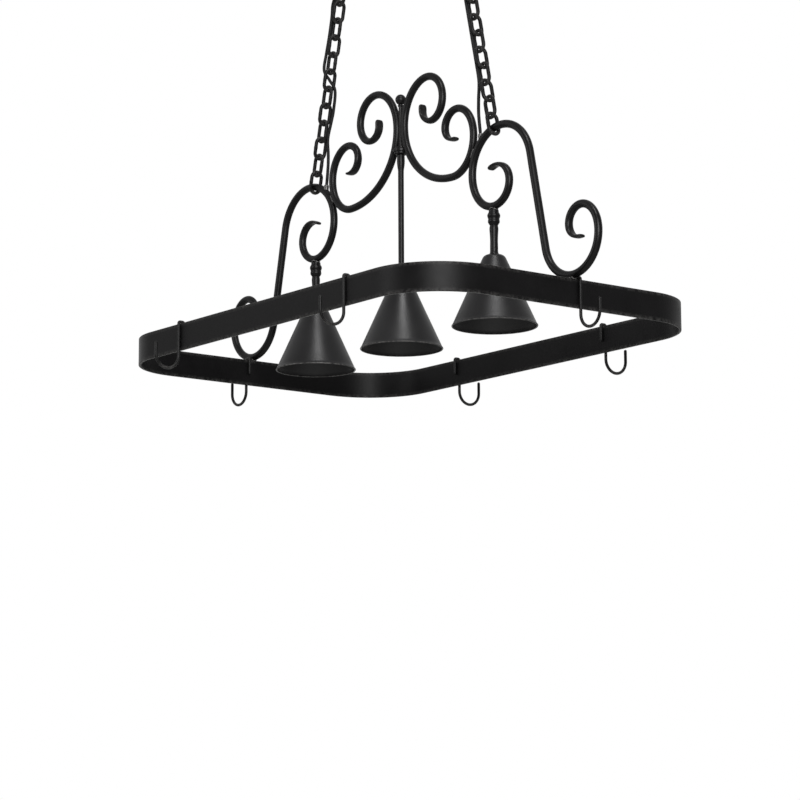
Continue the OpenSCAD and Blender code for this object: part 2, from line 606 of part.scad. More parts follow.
cord_sides = 8;
module cord(route) color(rubber) hung() {
    c = through(route_points(route), 3);
    n = len(c);
    points = [for (i = [0 : n - 1]) let (
            t = c[min(n - 1, i + 1)] - c[max(0, i - 1)], w = t / norm(t),
            u = cross([0, 1, 0], w), e = u / norm(u), v = cross(w, e))
        each [for (j = [0 : cord_sides - 1]) let (q = -360 * j / cord_sides)
            c[i] + cord_d / 2 * (cos(q) * e + sin(q) * v)]];
    polyhedron(points, tube_faces(n, cord_sides), convexity = 6);
}

// ---- Nodes -----------------------------------------------------------------------------

rim_band();
on_left() s_scroll();  // left_s_scroll
s_scroll();  // right_s_scroll
on_left() c_scroll();  // left_c_scroll
c_scroll();  // right_c_scroll
centre_hub();
centre_finial();
centre_stem();
on_left() coupling();  // left_coupling
coupling();  // right_coupling
on_left() lamp_stem();  // left_stem
lamp_stem();  // right_stem
shade(-lamp_x);  // left_shade
shade(0);  // centre_shade
shade(lamp_x);  // right_shade
shade_nut(-lamp_x);  // left_shade_nut
shade_nut(0);  // centre_shade_nut
shade_nut(lamp_x);  // right_shade_nut
lampholder(-lamp_x);  // left_lampholder
lampholder(0);  // centre_lampholder
lampholder(lamp_x);  // right_lampholder
screw_shell(-lamp_x);  // left_screw_shell
screw_shell(0);  // centre_screw_shell
screw_shell(lamp_x);  // right_screw_shell
front_hook(front_left_hook_x);  // front_left_hook
front_hook(front_right_hook_x);  // front_right_hook
back_hook(back_left_hook_x);  // back_left_hook
back_hook(back_right_hook_x);  // back_right_hook
left_end_hook();
right_end_hook();
on_left() chain();  // left_chain
chain();  // right_chain
on_left() top_link();  // left_top_link
top_link();  // right_top_link
on_left() collar_loop();  // left_collar_loop
collar_loop();  // right_collar_loop
on_left() canopy();  // left_canopy
canopy();  // right_canopy
on_left() ceiling_strap();  // left_ceiling_strap
ceiling_strap();  // right_ceiling_strap
on_left() nipple();  // left_nipple
nipple();  // right_nipple
on_left() lock_nut();  // left_lock_nut
lock_nut();  // right_lock_nut
on_left() canopy_bushing();  // left_canopy_bushing
canopy_bushing();  // right_canopy_bushing
on_left() cord_bushing();  // left_cord_bushing
cord_bushing();  // right_cord_bushing
on_left() cord(left_route);  // left_cord
cord(right_route);  // right_cord
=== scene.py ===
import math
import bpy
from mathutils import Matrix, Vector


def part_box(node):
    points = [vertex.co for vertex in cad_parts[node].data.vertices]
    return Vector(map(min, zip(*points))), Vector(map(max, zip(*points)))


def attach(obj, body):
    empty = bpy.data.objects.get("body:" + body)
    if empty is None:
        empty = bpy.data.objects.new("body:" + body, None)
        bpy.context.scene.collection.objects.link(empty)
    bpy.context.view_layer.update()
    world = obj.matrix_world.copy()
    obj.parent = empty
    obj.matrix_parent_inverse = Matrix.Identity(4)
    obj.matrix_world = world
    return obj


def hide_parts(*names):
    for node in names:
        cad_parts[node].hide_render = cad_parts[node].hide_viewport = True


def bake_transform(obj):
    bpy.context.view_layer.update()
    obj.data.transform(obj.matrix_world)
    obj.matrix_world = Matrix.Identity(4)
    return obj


bl_info = {
    "name": "Hanging pot rack",
    "version": (1, 0, 0),
    "blender": (4, 5, 0),
    "location": "View3D > Sidebar > Pot rack",
    "description": "Dresses the packed pot rack: forged scrolls, spun shades, chains, hooks and cords",
    "category": "Object",
}

import bmesh
import bpy
import numpy as np
from bpy.props import FloatProperty, FloatVectorProperty, IntProperty, PointerProperty
from bpy.types import Operator, Panel, PropertyGroup
from mathutils import Matrix

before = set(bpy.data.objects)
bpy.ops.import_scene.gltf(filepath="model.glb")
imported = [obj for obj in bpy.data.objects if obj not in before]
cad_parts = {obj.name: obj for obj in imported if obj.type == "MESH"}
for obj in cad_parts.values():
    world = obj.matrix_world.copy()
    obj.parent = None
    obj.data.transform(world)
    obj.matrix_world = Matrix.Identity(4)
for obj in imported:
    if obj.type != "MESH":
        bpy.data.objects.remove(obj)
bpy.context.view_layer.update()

MM = 0.001
RIM_LOW, RIM_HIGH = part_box("rim_band")
RIM_FLOOR = RIM_LOW.z  # height of the rim's lower edge in the frame
CEILING = -RIM_FLOOR / MM  # height of the ceiling above that edge, in millimetres
SIDES = (("left", -1), ("right", 1))


def heights(node_name):
    """Heights of a CAD node's lowest and highest points above the rim's lower edge, in millimetres."""
    return [(corner.z - RIM_FLOOR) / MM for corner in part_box(node_name)]


def middle_of(node_name):
    """The middle of a CAD node's box, in millimetres in the frame."""
    return np.add(*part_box(node_name)) / 2 / MM


# ---- Sizes and colours ----


def length(name, about, default_mm):
    """A size in metres whose default is given in millimetres."""
    return FloatProperty(name=name, description=about, default=default_mm * MM, unit="LENGTH", precision=5)


def colour(name, about, default):
    """A linear colour."""
    return FloatVectorProperty(name=name, description=about, default=default, subtype="COLOR", size=3, min=0, max=1)


class RackSizes(PropertyGroup):
    """Sizes of the rack's pieces that the looks are built from."""

    rim_corner: length("Rim corner", "Outer radius of the rim's corners", 133)
    rim_bar: length("Rim bar", "Thickness of the rim's flat bar", 4.9)
    rim_edge: length("Rim edge", "Radius of the flat bar's rolled edges", 0.9)
    scroll_bar: length("Scroll bar", "Diameter of the scrolls' round bar", 14.3)
    tip_width: length("Tip width", "Width of a scroll's forged end", 18)
    tip_thickness: length("Tip thickness", "Thickness of a scroll's forged end", 5.2)
    tip_length: length("Tip length", "Length over which a scroll's end is drawn out", 75)
    hook_wire: length("Hook wire", "Diameter of the hooks' wire", 5.6)
    hook_width: length("Hook width", "Width of a hook's upturn between wire centres", 49)
    link_wire: length("Link wire", "Diameter of the chain links' wire", 7)
    link_inside: length("Link length", "Inner length of a chain link", 33.5)
    link_opening: length("Link width", "Inner width of a chain link", 15.2)
    cord: length("Cord", "Diameter of the power cords", 6)
    shade_wall: length("Shade wall", "Thickness of the spun shades", 1.0)
    links: IntProperty(name="Links", description="Links in each chain", default=12, min=4)


class RackFinish(PropertyGroup):
    """Colours of the rack's finishes and of the studio."""

    iron: colour("Iron", "Satin black coat of the rim and the scrolls", (0.0012, 0.0011, 0.0012))
    shade: colour("Shade", "Satin black coat of the shades", (0.0020, 0.0019, 0.0021))
    wire: colour("Wire", "Black coat of the chains and hooks", (0.0018, 0.0017, 0.0018))
    # This pale steel colour paints highlights along the rim's edges, the shades' rims and the weld beads, as well as
    # bare steel where the coat is rubbed.
    bare_and_sheen: colour("Bare steel", "Steel where the coat is rubbed thin", (0.16, 0.155, 0.15))
    jacket: colour("Cord jacket", "Jacket of the power cords", (0.0030, 0.0030, 0.0032))
    brass: colour("Brass", "Screw shells of the lampholders", (0.60, 0.43, 0.17))
    zinc: colour("Zinc", "Plated straps, nipples and nuts", (0.50, 0.51, 0.53))
    holder: colour("Lampholder", "Moulded lampholders", (0.016, 0.015, 0.014))
    floor: colour("Floor", "Studio floor", (0.80, 0.80, 0.79))


def measures(context, *names):
    """The named sizes of the rack, in millimetres."""
    return [getattr(context.scene.rack_sizes, name) / MM for name in names]


# ---- Surfaces on grids ----


def grid_quads(rows, cols, closed):
    """Quads between neighbours of a grid whose rows are rings; a closed one joins its last ring to its first."""
    a, b = np.meshgrid(np.arange(rows if closed else rows - 1), np.arange(cols), indexing="ij")
    down, over = (a + 1) % rows, (b + 1) % cols
    return np.stack([a * cols + b, a * cols + over, down * cols + over, down * cols + b], -1).reshape(-1, 4)


def placed(points):
    """Millimetres above the rim's lower edge, to metres in the frame."""
    return np.asarray(points, float) * MM + np.array([0, 0, RIM_FLOOR])


def angles(steps):
    """Angles of that many even steps round a circle."""
    return np.linspace(0, 2 * np.pi, steps, endpoint=False)


def unit(vectors):
    """The vectors brought to length 1."""
    return vectors / np.linalg.norm(vectors, axis=-1, keepdims=True)


def shown(name, data):
    """A new object in the scene, with its data."""
    holder = bpy.data.objects.new(name, data)
    bpy.context.scene.collection.objects.link(holder)
    return holder


def shell(name, parts, sharp=35.0):
    """One mesh from grids of rings, each (points, closed, wear with painted highlight); the ends of an open one get a
    flat cap.

    Doubles at the poles are merged, then the normals are turned outwards.
    """
    points, faces, wear, base = [], [], [], 0
    for grid, closed, worn in parts:
        rows, cols = grid.shape[:2]
        points.append(grid.reshape(-1, 3))
        faces += (grid_quads(rows, cols, closed) + base).tolist()
        if not closed:
            faces += [(base + ring * cols + np.arange(cols)).tolist() for ring in (0, rows - 1)]
        wear.append(np.broadcast_to(worn, (rows, cols)).reshape(-1))
        base += rows * cols
    mesh = bpy.data.meshes.new(name)
    mesh.from_pydata(placed(np.concatenate(points)).tolist(), [], faces)
    # The wear values also mark the edges and rims where a highlight is painted.
    mesh.attributes.new("wear", "FLOAT", "POINT").data.foreach_set("value", np.concatenate(wear).astype(np.float32))
    welded = bmesh.new()
    welded.from_mesh(mesh)
    bmesh.ops.remove_doubles(welded, verts=welded.verts, dist=1e-6)
    bmesh.ops.recalc_face_normals(welded, faces=welded.faces)
    welded.to_mesh(mesh)
    welded.free()
    mesh.polygons.foreach_set("use_smooth", np.ones(len(mesh.polygons), bool))
    mesh.set_sharp_from_angle(angle=math.radians(sharp))
    return shown(name, mesh)


def lathe(profile, x, steps=96, y=0.0, worn=0.0):
    """A closed outline of radii and heights turned about the upright line at x, y: (x + r cos a, y + r sin a, z)."""
    r, z = np.asarray(profile, float).T
    a = angles(steps)[:, None]
    return np.stack([x + r * np.cos(a), y + r * np.sin(a), z + 0 * a], -1), True, worn


def rounded(profile, radius, steps=4):
    """A closed outline with each corner, but for those on the axis, replaced by a curve of about that radius.

    Each corner P becomes (1-t)^2 A + 2t(1-t) P + t^2 B, with A and B on the two sides at the same distance.
    """
    p = np.asarray(profile, float)
    before, after = np.roll(p, 1, 0) - p, np.roll(p, -1, 0) - p
    reach_a, reach_b = np.linalg.norm(before, axis=1), np.linalg.norm(after, axis=1)
    cut = np.minimum(radius, 0.45 * np.minimum(reach_a, reach_b))
    cut = np.where(p[:, 0] < 1e-9, 0, cut)[:, None]
    a = p + before / reach_a[:, None] * cut
    b = p + after / reach_b[:, None] * cut
    t = np.linspace(0, 1, steps)[None, :, None]
    return ((1 - t) ** 2 * a[:, None] + 2 * t * (1 - t) * p[:, None] + t ** 2 * b[:, None]).reshape(-1, 2)


def bar(path, across, over, side=(0, 1, 0), sides=20, closed=False, square=2.0, worn=0.0):
    """A bar round a path: centre + across |cos u|^(2/k) n + over |sin u|^(2/k) m.

    m is the side vector made square to the path, n = path x m, and k is 2 for an oval, more for a boxier section.
    """
    path = np.asarray(path, float)
    along = unit(np.roll(path, -1, 0) - np.roll(path, 1, 0) if closed else np.gradient(path, axis=0))
    m = np.broadcast_to(np.asarray(side, float), path.shape)
    m = unit(m - (m * along).sum(1)[:, None] * along)
    n = np.cross(along, m)
    u = angles(sides)
    power = 2 / np.broadcast_to(square, len(path))[:, None]
    c, s = (np.sign(wave) * np.abs(wave) ** power for wave in (np.cos(u), np.sin(u)))
    a, b = (np.broadcast_to(half, len(path))[:, None, None] for half in (across, over))
    grid = path[:, None] + a * c[..., None] * n[:, None] + b * s[..., None] * m[:, None]
    return grid, closed, np.reshape(worn, (-1, 1))


def run_of(path):
    """Length of the path up to each of its points."""
    return np.concatenate([[0], np.cumsum(np.linalg.norm(np.diff(path, axis=0), axis=1))])


def points_at(path, at):
    """Points at the given lengths along the path."""
    run = run_of(path)
    return np.stack([np.interp(at, run, values) for values in path.T], 1)


def domed(run, radius):
    """Share of the full thickness near the two ends of a run, so that each end is a half ball."""
    gap = np.minimum(run, run[-1] - run)
    return np.sqrt(np.clip(1 - np.clip(1 - gap / radius, 0, 1) ** 2, 0.0004, 1))


def with_ends(path, radius, rings=6):
    """The path with extra points near both ends, spaced as a half ball's rings are."""
    run = run_of(path)
    near = radius * (1 - np.cos(np.linspace(0, np.pi / 2, rings)))
    inner = run[(run > radius * 1.02) & (run < run[-1] - radius * 1.02)]
    return points_at(path, np.concatenate([near, inner, run[-1] - near[::-1]]))


# ---- The lines of the scrolls ----


def bend(start, r0, r1, turn, share):
    """Points and headings along a bend whose radius runs evenly from r0 to r1.

    The heading grows by the turn, and the step is the radius times it, integrated in closed form.
    """
    s, a = np.sign(turn), abs(turn) * share
    slope = (r1 - r0) / abs(turn)
    r, h = r0 + (r1 - r0) * share, start[2]
    x = start[0] + s * (r * np.sin(h + s * a) - r0 * np.sin(h)) + slope * (np.cos(h + s * a) - np.cos(h))
    z = start[1] - s * (r * np.cos(h + s * a) - r0 * np.cos(h)) + slope * (np.sin(h + s * a) - np.sin(h))
    return np.stack([x, z, h + s * a], 1)


def arm(start, stretches, per_turn=2.5, per_straight=25):
    """Points and headings along the stretches (radius, radius, degrees) or (length, 0, 0)."""
    points = [np.array([start], float)]
    for r0, r1, degrees in stretches:
        p = points[-1][-1]
        if degrees:
            share = np.linspace(0, 1, int(abs(degrees) / per_turn) + 2)[1:]
            points.append(bend(p, r0, r1, math.radians(degrees), share))
        else:
            share = np.linspace(0, 1, per_straight)[1:, None]
            points.append(p + r0 * share * np.array([math.cos(p[2]), math.sin(p[2]), 0]))
    return np.concatenate(points)


def scroll_line(start, forward, back):
    """The scroll's whole centre line, from the tip of its back arm to the tip of its forward arm."""
    line = np.concatenate([arm((*start, math.pi), back)[::-1], arm((*start, 0.0), forward)[1:]])
    return np.insert(line[:, :2], 1, 0.0, axis=1)


def mirrored(points, side):
    """The same points on the left, where side is -1."""
    return np.asarray(points, float) * np.array([side, 1, 1])


# Right side: where each scroll's line starts, and its stretches both ways
FOOT = (481.55, 58.05)
FOOT_CURL = ((69, 65, 90), (65, 33, 90), (33, 23, 180), (10, 0, 0))
S_ARM = ((69, 77, -78), (184.2, 0, 0), (86, 82, 78), (82, 76, 90), (76, 50, 90), (50, 34, 90), (34, 34, 124))
C_LOW = (155.514, 296.025)
LOW_CURL = ((52.45, 73.07, 90), (73.07, 36.03, 90), (36.03, 27.03, 90), (27.03, 22.02, 112))
HIGH_CURL = ((170.16, 98.89, -90), (98.89, 48.55, -90), (48.55, 46.04, -90), (46.04, 27.03, -90), (27.03, 22.02, -90),
             (12, 0, 0))
S_LINE, C_LINE = scroll_line(FOOT, FOOT_CURL, S_ARM), scroll_line(C_LOW, LOW_CURL, HIGH_CURL)
BAR_R = 7.15  # radius of the scrolls' bar
SHOULDER_BEND, LOOP_BOTTOM = 3, 5  # stretches of the S-scroll's arm before its shoulder's top and its loop's foot


def on_s_arm(count):
    """Where the S-scroll's arm stands after its first count stretches, and its heading."""
    return arm((*FOOT, math.pi), S_ARM[:count])[-1]


def on_shoulder(degrees):
    """Point and heading of the S-scroll's bar some degrees of turn past the top of its shoulder."""
    r0, r1, whole = S_ARM[SHOULDER_BEND]
    return bend(on_s_arm(SHOULDER_BEND), r0, r1, math.radians(whole), np.array([degrees / whole]))[0]


LAMP_X, LOOP_Z = map(float, on_s_arm(LOOP_BOTTOM)[:2])
LAMPS = (("left", -LAMP_X), ("centre", 0.0), ("right", LAMP_X))


# ---- Shader groups and materials ----


def wire_up(tree, made, inputs):
    """Each named input of the node is set to its value, or linked to its socket."""
    for key, value in inputs.items():
        if isinstance(value, bpy.types.NodeSocket):
            tree.links.new(value, made.inputs[key])
        else:
            made.inputs[key].default_value = value


def node(tree, kind, inputs=None, **settings):
    """A node with its settings and inputs."""
    made = tree.nodes.new(kind)
    for key, value in settings.items():
        setattr(made, key, value)
    wire_up(tree, made, inputs or {})
    return made


def group(name, inputs, outputs):
    """An empty shader group: its tree, the sockets of its inputs, and its output node.

    An input whose default has several numbers is a colour, and so is the output named Colour.
    """
    tree = bpy.data.node_groups.new(name, "ShaderNodeTree")
    for label, default in inputs.items():
        kind = "NodeSocketColor" if np.ndim(default) else "NodeSocketFloat"
        tree.interface.new_socket(label, in_out="INPUT", socket_type=kind).default_value = default
    for label in outputs:
        kind = "NodeSocketColor" if label == "Colour" else "NodeSocketFloat"
        tree.interface.new_socket(label, in_out="OUTPUT", socket_type=kind)
    return tree, tree.nodes.new("NodeGroupInput").outputs, tree.nodes.new("NodeGroupOutput")


def noise(tree, scale, detail, rough=0.5):
    """Noise from 0 to 1 over the piece, at so many waves to the metre."""
    place = tree.nodes.new("ShaderNodeTexCoord").outputs["Object"]
    inputs = {"Vector": place, "Scale": scale, "Detail": detail, "Roughness": rough}
    return node(tree, "ShaderNodeTexNoise", inputs).outputs["Fac"]


def fitted(tree, value, low, high, to_low=0.0, to_high=1.0):
    """The value carried from one range to another and held inside it."""
    inputs = {"Value": value, "From Min": low, "From Max": high, "To Min": to_low, "To Max": to_high}
    return node(tree, "ShaderNodeMapRange", inputs).outputs["Result"]


def sums(tree, how, a, b):
    """One step of arithmetic on two values."""
    return node(tree, "ShaderNodeMath", {0: a, 1: b}, operation=how).outputs[0]


def blended(tree, share, a, b):
    """Colour a where share is 0, and b where it is 1."""
    return node(tree, "ShaderNodeMix", {0: share, 6: a, 7: b}, data_type="RGBA").outputs[2]


def coat_group():
    """Powder coat: cloudy tone, cloudy gloss and a fine orange-peel height."""
    tree, inside, out = group("powder_coat", {
        "Colour": (0.02, 0.02, 0.02, 1), "Clouding": 0.25, "Gloss": 0.45, "Gloss spread": 0.06,
        "Grains per metre": 900, "Dents per metre": 45, "Dent depth": 0.3}, ("Colour", "Roughness", "Height"))
    cloud = noise(tree, 14.0, 4.0, 0.6)
    speck = noise(tree, inside["Grains per metre"], 2.0)
    dent = noise(tree, inside["Dents per metre"], 1.0)
    darker = blended(tree, inside["Clouding"], inside["Colour"], (0, 0, 0, 1))
    lighter = blended(tree, sums(tree, "MULTIPLY", inside["Clouding"], 0.003), inside["Colour"], (1, 1, 1, 1))
    tone = sums(tree, "ADD", sums(tree, "MULTIPLY", cloud, 0.7), sums(tree, "MULTIPLY", speck, 0.3))
    spread = sums(tree, "MULTIPLY", fitted(tree, cloud, 0.3, 0.7, -1.0, 1.0), inside["Gloss spread"])
    grains, dents = sums(tree, "MULTIPLY", speck, 0.25), sums(tree, "MULTIPLY", dent, inside["Dent depth"])
    wire_up(tree, out, {"Colour": blended(tree, fitted(tree, tone, 0.33, 0.67), darker, lighter),
                        "Roughness": sums(tree, "ADD", inside["Gloss"], spread),
                        "Height": sums(tree, "ADD", grains, dents)})
    return tree


def wear_group():
    """Where the coat is rubbed through, and where a highlight is painted: the piece's wear values broken up by noise.
    """
    tree, inside, out = group("rubbed_and_sheen_edges", {"Amount": 0.5, "Patches per metre": 160}, ("Mask",))
    worn = node(tree, "ShaderNodeAttribute", attribute_name="wear").outputs["Fac"]
    patches = fitted(tree, noise(tree, inside["Patches per metre"], 5.0, 0.65), 0.38, 0.66)
    mask = sums(tree, "MULTIPLY", sums(tree, "MULTIPLY", worn, patches), inside["Amount"])
    wire_up(tree, out, {"Mask": sums(tree, "MINIMUM", mask, 1.0)})
    return tree


def spun_group():
    """Faint rings left by spinning: a height that runs with the distance down the shade."""
    tree, inside, out = group("spun_rings", {"Rings per metre": 420}, ("Height",))
    place = tree.nodes.new("ShaderNodeTexCoord").outputs["Object"]
    down = node(tree, "ShaderNodeSeparateXYZ", {"Vector": place}).outputs["Z"]
    ring = node(tree, "ShaderNodeTexNoise", {"W": down, "Scale": inside["Rings per metre"], "Detail": 2.0},
                noise_dimensions="1D")
    wire_up(tree, out, {"Height": ring.outputs["Fac"]})
    return tree


def principled(name):
    """An empty material with its Principled shader."""
    material = bpy.data.materials.new(name)
    material.use_nodes = True
    return material, material.node_tree, material.node_tree.nodes["Principled BSDF"]


GROUPS, FINISH = {}, {}
METAL_SHARE, RING_SHARE = 0.8, 0.5  # how metallic the paled edges are, as rubbed steel and as painted highlight, and what spun rings add to the height


def coated(name, tint, gloss, specular=0.5, metallic=0.0, clouding=0.25, spread=0.06, grains=900, dents=45, depth=0.3,
           bump=0.0004, strength=0.5, wear=0.0, patches=160, rings=0):
    """A finish: the coat's group, edges paled to bare steel for wear and for painted highlights if it has a wear
    amount, spun rings, and a bump.
    """
    material, tree, shader = principled(name)
    coat = node(tree, "ShaderNodeGroup", node_tree=GROUPS["coat"], inputs={
        "Colour": (*tint, 1), "Clouding": clouding, "Gloss": gloss, "Gloss spread": spread,
        "Grains per metre": grains, "Dents per metre": dents, "Dent depth": depth}).outputs
    tone, height = coat["Colour"], coat["Height"]
    # The wear mask pales the coat towards the bare steel colour and makes it metallic: rubbed coat, and on the rim,
    # shades and welds a painted highlight.
    if wear:
        rubbed = node(tree, "ShaderNodeGroup", {"Amount": wear, "Patches per metre": patches},
                      node_tree=GROUPS["wear"]).outputs["Mask"]
        tone = blended(tree, rubbed, tone, (*bpy.context.scene.rack_finish.bare_and_sheen, 1))
        metallic = sums(tree, "MULTIPLY", rubbed, METAL_SHARE)
    if rings:
        ring = node(tree, "ShaderNodeGroup", {"Rings per metre": rings}, node_tree=GROUPS["spun"]).outputs["Height"]
        height = sums(tree, "ADD", height, sums(tree, "MULTIPLY", ring, RING_SHARE))
    relief = node(tree, "ShaderNodeBump", {"Height": height, "Strength": strength, "Distance": bump})
    wire_up(tree, shader, {"Base Color": tone, "Roughness": coat["Roughness"], "Metallic": metallic,
                           "Specular IOR Level": specular, "Normal": relief.outputs["Normal"]})
    return material


def make_finishes(finish):
    """Every material of the rack, by name; plate is what the brass and the zinc share."""
    GROUPS.update(coat=coat_group(), wear=wear_group(), spun=spun_group())
    plate = dict(metallic=1.0, clouding=0.3, spread=0.1, dents=120, depth=0.2, bump=0.0003, strength=0.4)
    FINISH.update(
        # The rim's, shades' and welds' wear amounts also paint pale highlights on their edges, rims and beads; the
        # other finishes' amounts stand for wear alone.
        rim=coated("rim_black", finish.iron, 0.42, 0.05, dents=22, depth=0.5, wear=0.22),
        iron=coated("scroll_black", finish.iron, 0.35, 0.075, dents=60, depth=0.9, wear=0.1),
        weld=coated("weld_black", finish.iron, 0.3, 0.3, dents=160, depth=1.0, bump=0.0006, wear=1.0, patches=520),
        shade=coated("shade_black", finish.shade, 0.4, 0.14, dents=18, depth=0.2, bump=0.00025, wear=0.45, rings=420),
        wire=coated("wire_black", finish.wire, 0.38, 0.06, dents=120, depth=0.6, bump=0.0003, wear=0.2, patches=420),
        jacket=coated("cord_jacket", finish.jacket, 0.5, 0.06, grains=1500, dents=90, bump=0.0002),
        holder=coated("lampholder_black", finish.holder, 0.35, 0.4, grains=700, bump=0.00015),
        brass=coated("shell_brass", finish.brass, 0.3, grains=600, **plate),
        zinc=coated("zinc_plate", finish.zinc, 0.38, grains=380, **plate))


def finished(piece, finish, body, *nodes, slot="wrought_black"):
    """The piece gets its material, rides on its body, if any, and stands for its CAD nodes; its slot is not used."""
    piece.data.materials.clear()
    piece.data.materials.append(FINISH[finish])
    if body:
        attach(piece, body)
    if nodes:
        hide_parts(*nodes)
    return piece


def kept(finish, *node_names):
    """The CAD nodes that stay in view get a better material."""
    for solid in (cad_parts[name] for name in node_names):
        if not solid.material_slots:
            solid.data.materials.append(FINISH[finish])
        for each in solid.material_slots:
            each.material = FINISH[finish]


# ---- Pieces ----

CLEAR = 0.1  # space between pieces that touch without a weld
THREAD_R, BORE_R = 4.75, 4.85  # the lamps' threaded tubes, and the holes they pass through
THREAD_REACH = 14.0  # how far a tube's thread reaches into its shade
SHADE_Z, SHADE_H = 2.0, 128.0  # height of the shades' foot above the rim's, and of the shades
SHADE_R, SHADE_NECK = 76.2, 18.2  # radius of the cone at its foot, and at its top
SHOULDER = 11.0  # radius of the bend between the shades' side and top
SHADE_TOP = SHADE_Z + SHADE_H
HUB_Z = heights("centre_hub")[0]
CANOPY_X = middle_of("right_canopy")[0]
CORD_IN, CORD_Y = 25, -7  # where a cord leaves its canopy: inwards of the middle, and in front
UPRIGHT, BACK = np.array([0.0, 0.0, 1.0]), np.array([0.0, 1.0, 0.0])


class PotRackPiece:
    """What every piece's operator shares."""

    bl_options = {"REGISTER", "UNDO"}


def rim_line(long, wide, corner, per_corner=28, per_side=60):
    """Centre line of the rim: four quarter circles joined by straight sides, and its outward directions."""
    a = np.linspace(0, np.pi / 2, per_corner) + np.arange(4)[:, None] * np.pi / 2
    rays = np.stack([np.cos(a), np.sin(a)], -1)
    centres = np.array([(1, 1), (-1, 1), (-1, -1), (1, -1)]) * [long / 2 - corner, wide / 2 - corner]
    arcs = centres[:, None] + corner * rays
    here, there = arcs[:, -1:], np.roll(arcs, -1, 0)[:, :1]
    straights = here + (there - here) * np.linspace(0, 1, per_side)[1:-1, None]
    ahead = np.broadcast_to(rays[:, -1:], straights.shape)
    return (np.concatenate(pair, 1).reshape(-1, 2) for pair in ((arcs, straights), (rays, ahead)))


class POTRACK_OT_rim(PotRackPiece, Operator):
    """Bend the flat bar of the rim, with rolled edges and one ground butt weld"""

    bl_idname = "potrack.rim"
    bl_label = "Rim"

    def execute(self, context):
        thick, edge, outer = measures(context, "rim_bar", "rim_edge", "rim_corner")
        long, wide, high = np.subtract(RIM_HIGH, RIM_LOW) / MM
        half = thick / 2
        line, ray = rim_line(long - thick, wide - thick, outer - half)
        t = np.linspace(0, np.pi / 2, 5)
        corner = edge * np.stack([np.cos(t), np.sin(t)], 1)
        ladder = np.linspace(edge, high - edge, 9)[1:-1]
        rising = np.concatenate([np.stack([half + 0 * ladder, ladder], 1), [half - edge, high - edge] + corner,
                                 [edge - half, high - edge] + corner[::-1] * [-1, 1]])
        section = np.concatenate([rising, [0, high] - rising])
        run = run_of(line)
        weld_at, weld_height, weld_reach, rubbed = len(run) // 8 + 10, 0.22, 3.0, 1.2
        weld = weld_height * np.exp(-(np.abs(run - run[weld_at]) / weld_reach) ** 2)
        out = section[:, 0] + weld[:, None] * np.sign(section[:, 0])
        grid = np.stack([line[:, :1] + out * ray[:, :1], line[:, 1:] + out * ray[:, 1:], section[:, 1] + 0 * out], -1)
        # The band's top and bottom edges are paled towards bare steel: a painted highlight along the edges as well as
        # wear.
        close = np.minimum(section[:, 1], high - section[:, 1])
        piece = shell("rim_bar", [(grid, True, np.clip(1 - close / rubbed, 0, 1) ** 0.5)], 50)
        finished(piece, "rim", "rack", "rim_band")
        return {"FINISHED"}


class POTRACK_OT_scrolls(PotRackPiece, Operator):
    """Forge the S-scrolls and C-scrolls with drawn-out ends"""

    bl_idname = "potrack.scrolls"
    bl_label = "Scrolls"

    def execute(self, context):
        thick, thin, broad, reach = measures(context, "scroll_bar", "tip_thickness", "tip_width", "tip_length")
        thin_round, broad_round, end_round = 2.0, 8.0, 3.2
        for kind, line in (("s_scroll", S_LINE), ("c_scroll", C_LINE)):
            line = with_ends(line, end_round, 7)
            run = run_of(line)
            drawn = np.clip(1 - np.minimum(run, run[-1] - run) / reach, 0, 1)
            drawn = drawn * drawn * (3 - 2 * drawn)
            # Shallow hammer marks every few centimetres, deeper where the end is drawn out
            hammered = 1 - 0.012 * (1 - np.sin(run / 5.1)) * drawn - 0.006 * (1 - np.sin(run / 11.3))
            across = (thick + (thin - thick) * drawn) / 2 * domed(run, thin_round) ** 0.8 * hammered
            over = (thick + (broad - thick) * drawn) / 2 * domed(run, broad_round) ** 0.45 * hammered
            worn = np.clip(drawn * 1.2 - 0.5, 0, 1) * 0.6
            for name, side in SIDES:
                grid = bar(mirrored(line, side), across, over, sides=24, square=2 + 0.9 * drawn, worn=worn)
                finished(shell(f"{name}_{kind}_bar", [grid], 60), "iron", "rack", f"{name}_{kind}")
        return {"FINISHED"}


def bead(path, radius, ripple=0.22, spacing=2.3, side=(0, 1, 0)):
    """A weld bead: a bar along the path whose thickness ripples with the run, with half-ball ends."""
    run = run_of(path)
    thick = radius * (1 - ripple * np.abs(np.sin(np.pi * run / spacing))) * domed(run, radius)
    # The beads' wear, with the weld finish's full amount, paints pale glints on them as well as bare metal.
    return bar(path, thick, thick, side, 10, worn=0.35)


